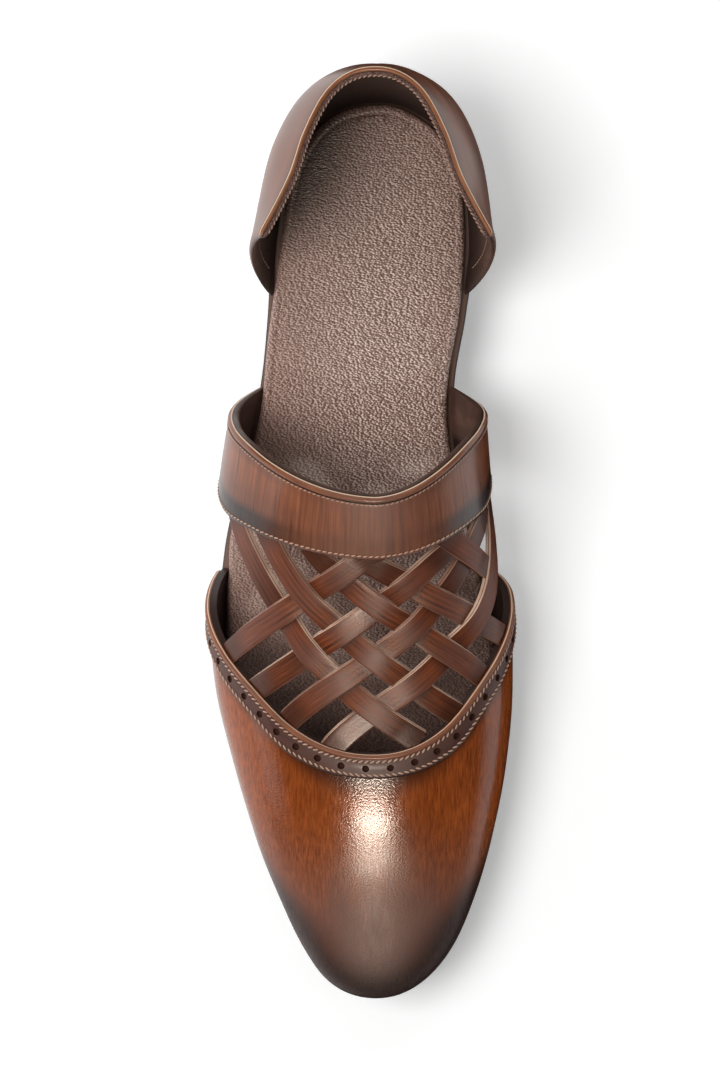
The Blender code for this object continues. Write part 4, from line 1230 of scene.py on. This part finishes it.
def counter_face(station, side, height):
    """Outer face of the counter. height runs from 0 at the sole to 1 at the topline."""
    x, y = sole_edge(station, side)
    out_x, out_y = edge_outward(station, side)
    foot_x, foot_y = x - out_x * COUNTER_INSET, y - out_y * COUNTER_INSET
    top_x = side * curve(COUNTER, 2, station, turn) * BALL_WIDTH
    top_y = -curve(COUNTER, 1, station, turn) * SOLE_LENGTH
    bow = curve(COUNTER, 3, station, turn) * BALL_WIDTH * np.sin(math.pi * height ** 0.8)
    rise = curve(COUNTER, 4, station, turn) * COUNTER_HEIGHT
    return np.stack([
        foot_x + (top_x - foot_x) * height + out_x * bow,
        foot_y + (top_y - foot_y) * np.sin(height * math.pi / 2) + out_y * bow,
        seat(station) + rise * height,
    ], axis=-1)


angles = turn(COUNTER_END) * np.concatenate([np.linspace(0, 0.97, 70), [0.98, 0.99, 0.996, 1.0]])
places = station_of(angles)[:, None]
height = np.linspace(0, 1, 26)[None, :]
face = np.concatenate([counter_face(places[::-1], -1.0, height),
                       counter_face(places[1:], 1.0, height)])
upward = np.gradient(face, axis=1)
forward = np.gradient(face, axis=0)
inward = np.cross(forward, upward)
inward /= np.linalg.norm(inward, axis=-1, keepdims=True)
upward /= np.linalg.norm(upward, axis=-1, keepdims=True)
inward *= np.sign(inward[10, 10, 0])
from_end = np.minimum(np.arange(len(face)), np.arange(len(face))[::-1])
rounded = TIP_ROUND[np.minimum(from_end, 4)][:, None]
thin = rounded[..., None] * COUNTER_WALL / 2


def rim_row(place):
    """Row along the topline, by millimetres in from the outer face and up."""
    into, lift = np.array(place[:2]) / 1000
    into = into + (COUNTER_WALL / 2 - into) * rounded
    return face[:, -1] + inward[:, -1] * into + upward[:, -1] * lift


body = slice(0, -1)
outer = np.concatenate([(face + inward * thin)[:, body],
                        np.stack([rim_row(place) for place in RIM_OUTER], axis=1)], axis=1)
ahead = np.concatenate([places[::-1], places[1:]])
skived = FOOT_SKIVE * (smooth_step((ahead - 0.08) / 0.12) * (1 - height) ** 0.6)[..., None]
inner = np.concatenate([(face + inward * (COUNTER_WALL - thin - skived))[:, body],
                        np.stack([rim_row(place) for place in RIM_INNER], axis=1)], axis=1)
outer[..., 2] = np.maximum(outer[..., 2], seat(ahead))
inner[..., 2] = np.maximum(inner[..., 2], outer[:, :1, 2])

counter_leather = burnished_leather(
    "Glossy counter leather", light=(0.240, 0.066, 0.018), dark=(0.075, 0.022, 0.009),
    edge=(0.018, 0.009, 0.007), haze_and_sheen=(0.10, 0.06, 0.05), streak=(500, 30), by_cut=True, coat=0.15,
    gloss=0.30)
counter_lining = burnished_leather(
    "Counter lining", light=(0.125, 0.064, 0.046), dark=(0.060, 0.030, 0.023),
    edge=(0.02, 0.012, 0.01), haze_and_sheen=(0.1, 0.06, 0.05), streak=(300, 300), coat=0.05, grain=0.8)
painted_edge = burnished_leather(
    "Painted topline edge", light=(0.430, 0.135, 0.035), dark=(0.230, 0.062, 0.018),
    edge=(0.03, 0.012, 0.008), haze_and_sheen=(0.2, 0.07, 0.03), streak=(300, 200), by_cut=True, coat=0.2)
suede_edge, suede_tree, suede_shader = new_finish(
    "Fuzzy lining edge", (0.085, 0.042, 0.034), 0.95, Sheen_Weight=0.1, Sheen_Roughness=0.5)
nap = noise(suede_tree, own_place(suede_tree), 2600, 3, 0.7)
two_tones(suede_tree, suede_shader, spread(suede_tree, nap, 0.40, 0.62), (0.016, 0.007, 0.005),
          (0.250, 0.135, 0.105))
bump_into(suede_tree, suede_shader, nap, 1.0, 0.0004)
tall = np.concatenate([height[0, :-1], np.ones(6)])
burnished = 0.85 * smooth_step(1 - tall / 0.35) + 0.35 * smooth_step((tall - 0.9) / 0.1)
slots = [0] * 25 + side_slots(RIM_OUTER, ("face", "edge", "dark", "light"))
counter = lofted("heel_counter_cup", outer, inner,
                 [counter_leather, painted_edge, dark_edge, light_line_and_highlight, counter_lining,
                  suede_edge], slots, [4] * 24 + [5] * 6, (4, 2), {
                     "burnish_and_shade": np.broadcast_to(burnished, outer.shape[:2]),
                     "haze_and_sheen": np.full(outer.shape[:2], 0.15)}, sharp=60)
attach(counter, "root")
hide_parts("heel_counter")

row = rim_row(RIM_INNER[2])
seam("counter_edge_stitches", row[3:-3], upward[3:-3, -1], brown_thread, 0.0016, 0.0015,
     0.00055, slant=0.5)
row = (face + inward * (COUNTER_WALL + 0.00002))[:, LINING_SEAM_ROW]
seam("counter_lining_stitches", row[3:-3], inward[3:-3, LINING_SEAM_ROW], brown_thread, 0.0017,
     0.0014, 0.00045)
for side, column in (("lateral", WING_SEAM_COLUMN), ("medial", -1 - WING_SEAM_COLUMN)):
    row = (inner + inward[:, :1] * 0.0002)[column, 2:23]
    seam(f"{side}_wing_stitches", row, inward[column, 2:23], brown_thread, 0.0017, 0.0014, 0.0005)


# Camera, floor and lights. The photograph was taken from straight above, with the shoe a little
# left of the lens, on a white table in a light tent: bright all round and darker overhead.

EYE = (0.0671, 0.0033, 1.9)
camera = put_in_scene("camera", bpy.data.cameras.new("camera"))
bpy.context.scene.camera = camera
camera.location = EYE
aim = np.array((0.0, -0.0015, 0.03)) - np.array(EYE)
across_tilt, along_tilt = math.atan2(aim[0], -aim[2]), math.atan2(aim[1], -aim[2])
camera.rotation_euler = (along_tilt, -across_tilt, 0.0)
camera.data.sensor_width = 36
camera.data.lens = 190
camera.data.clip_start, camera.data.clip_end = 0.1, 20

white_paper = new_finish("White table", (0.88, 0.88, 0.88), 0.9, Emission_Color=(1, 1, 1, 1),
                         Emission_Strength=0.27)[0]
for name, left, right, front, back, mirrored in (
    ("table_lateral", -3.0, -0.02, -3.0, 3.0, True),
    ("table_middle", -0.02, 0.10, -3.0, 0.06, False),
    ("table_heel_middle", -0.02, 0.075, 0.06, 3.0, False),
    ("table_heel_medial", 0.075, 0.10, 0.06, 3.0, True),
    ("table_medial", 0.10, 3.0, -3.0, 3.0, True),
):
    mesh = bpy.data.meshes.new(name)
    corners = [(left, front, 0), (right, front, 0), (right, back, 0), (left, back, 0)]
    mesh.from_pydata(corners, [], [(0, 1, 2, 3)])
    mesh.materials.append(white_paper)
    table = put_in_scene(name, mesh)
    table.visible_glossy = mirrored


def softbox(name, place, target, width, height, power, colour=(1, 1, 1)):
    light = bpy.data.lights.new(name, "AREA")
    light.color = colour
    light.shape, light.size, light.size_y, light.energy = "RECTANGLE", width, height, power
    thing = put_in_scene(name, light)
    thing.location = place
    gaze = np.array(target, float) - np.array(place, float)
    gaze /= np.linalg.norm(gaze)
    thing.rotation_mode = "QUATERNION"
    thing.rotation_quaternion = mathutils.Vector(gaze).to_track_quat("-Z", "Y")
    return thing


toe_light = softbox("toe_box", (-0.05, -0.80, 1.27), (0, -0.09, 0.04), 0.30, 0.12, 13.5,
                    (1.0, 0.84, 0.70))
toe_light.visible_diffuse = False
softbox("left_box", (-1.3, 0.1, 0.40), (0, 0, 0.03), 1.6, 0.6, 6)
softbox("right_box", (1.4, 0.1, 0.50), (0, 0, 0.03), 0.5, 0.35, 1.6)
softbox("heel_box", (0.0, 1.2, 1.1), (0, 0, 0.03), 1.4, 0.8, 6)
tent_top = softbox("tent_top", (-0.75, -0.10, 1.9), (0, 0, 0.03), 1.1, 1.1, 28)
tent_top.visible_glossy = False

world = bpy.data.worlds.new("Light tent")
bpy.context.scene.world = world
world.use_nodes = True
world.cycles_visibility.glossy = False
sky = world.node_tree
direction = add_node(sky, "ShaderNodeTexCoord")
height = add_node(sky, "ShaderNodeSeparateXYZ", {"Vector": direction.outputs["Generated"]})
background = sky.nodes["Background"]
background.inputs["Color"].default_value = (1, 1, 1, 1)
sky.links.new(spread(sky, height.outputs["Z"], 0.1, 0.7, 0.7, 0.05), background.inputs["Strength"])
bpy.context.scene.view_settings.view_transform = "Standard"
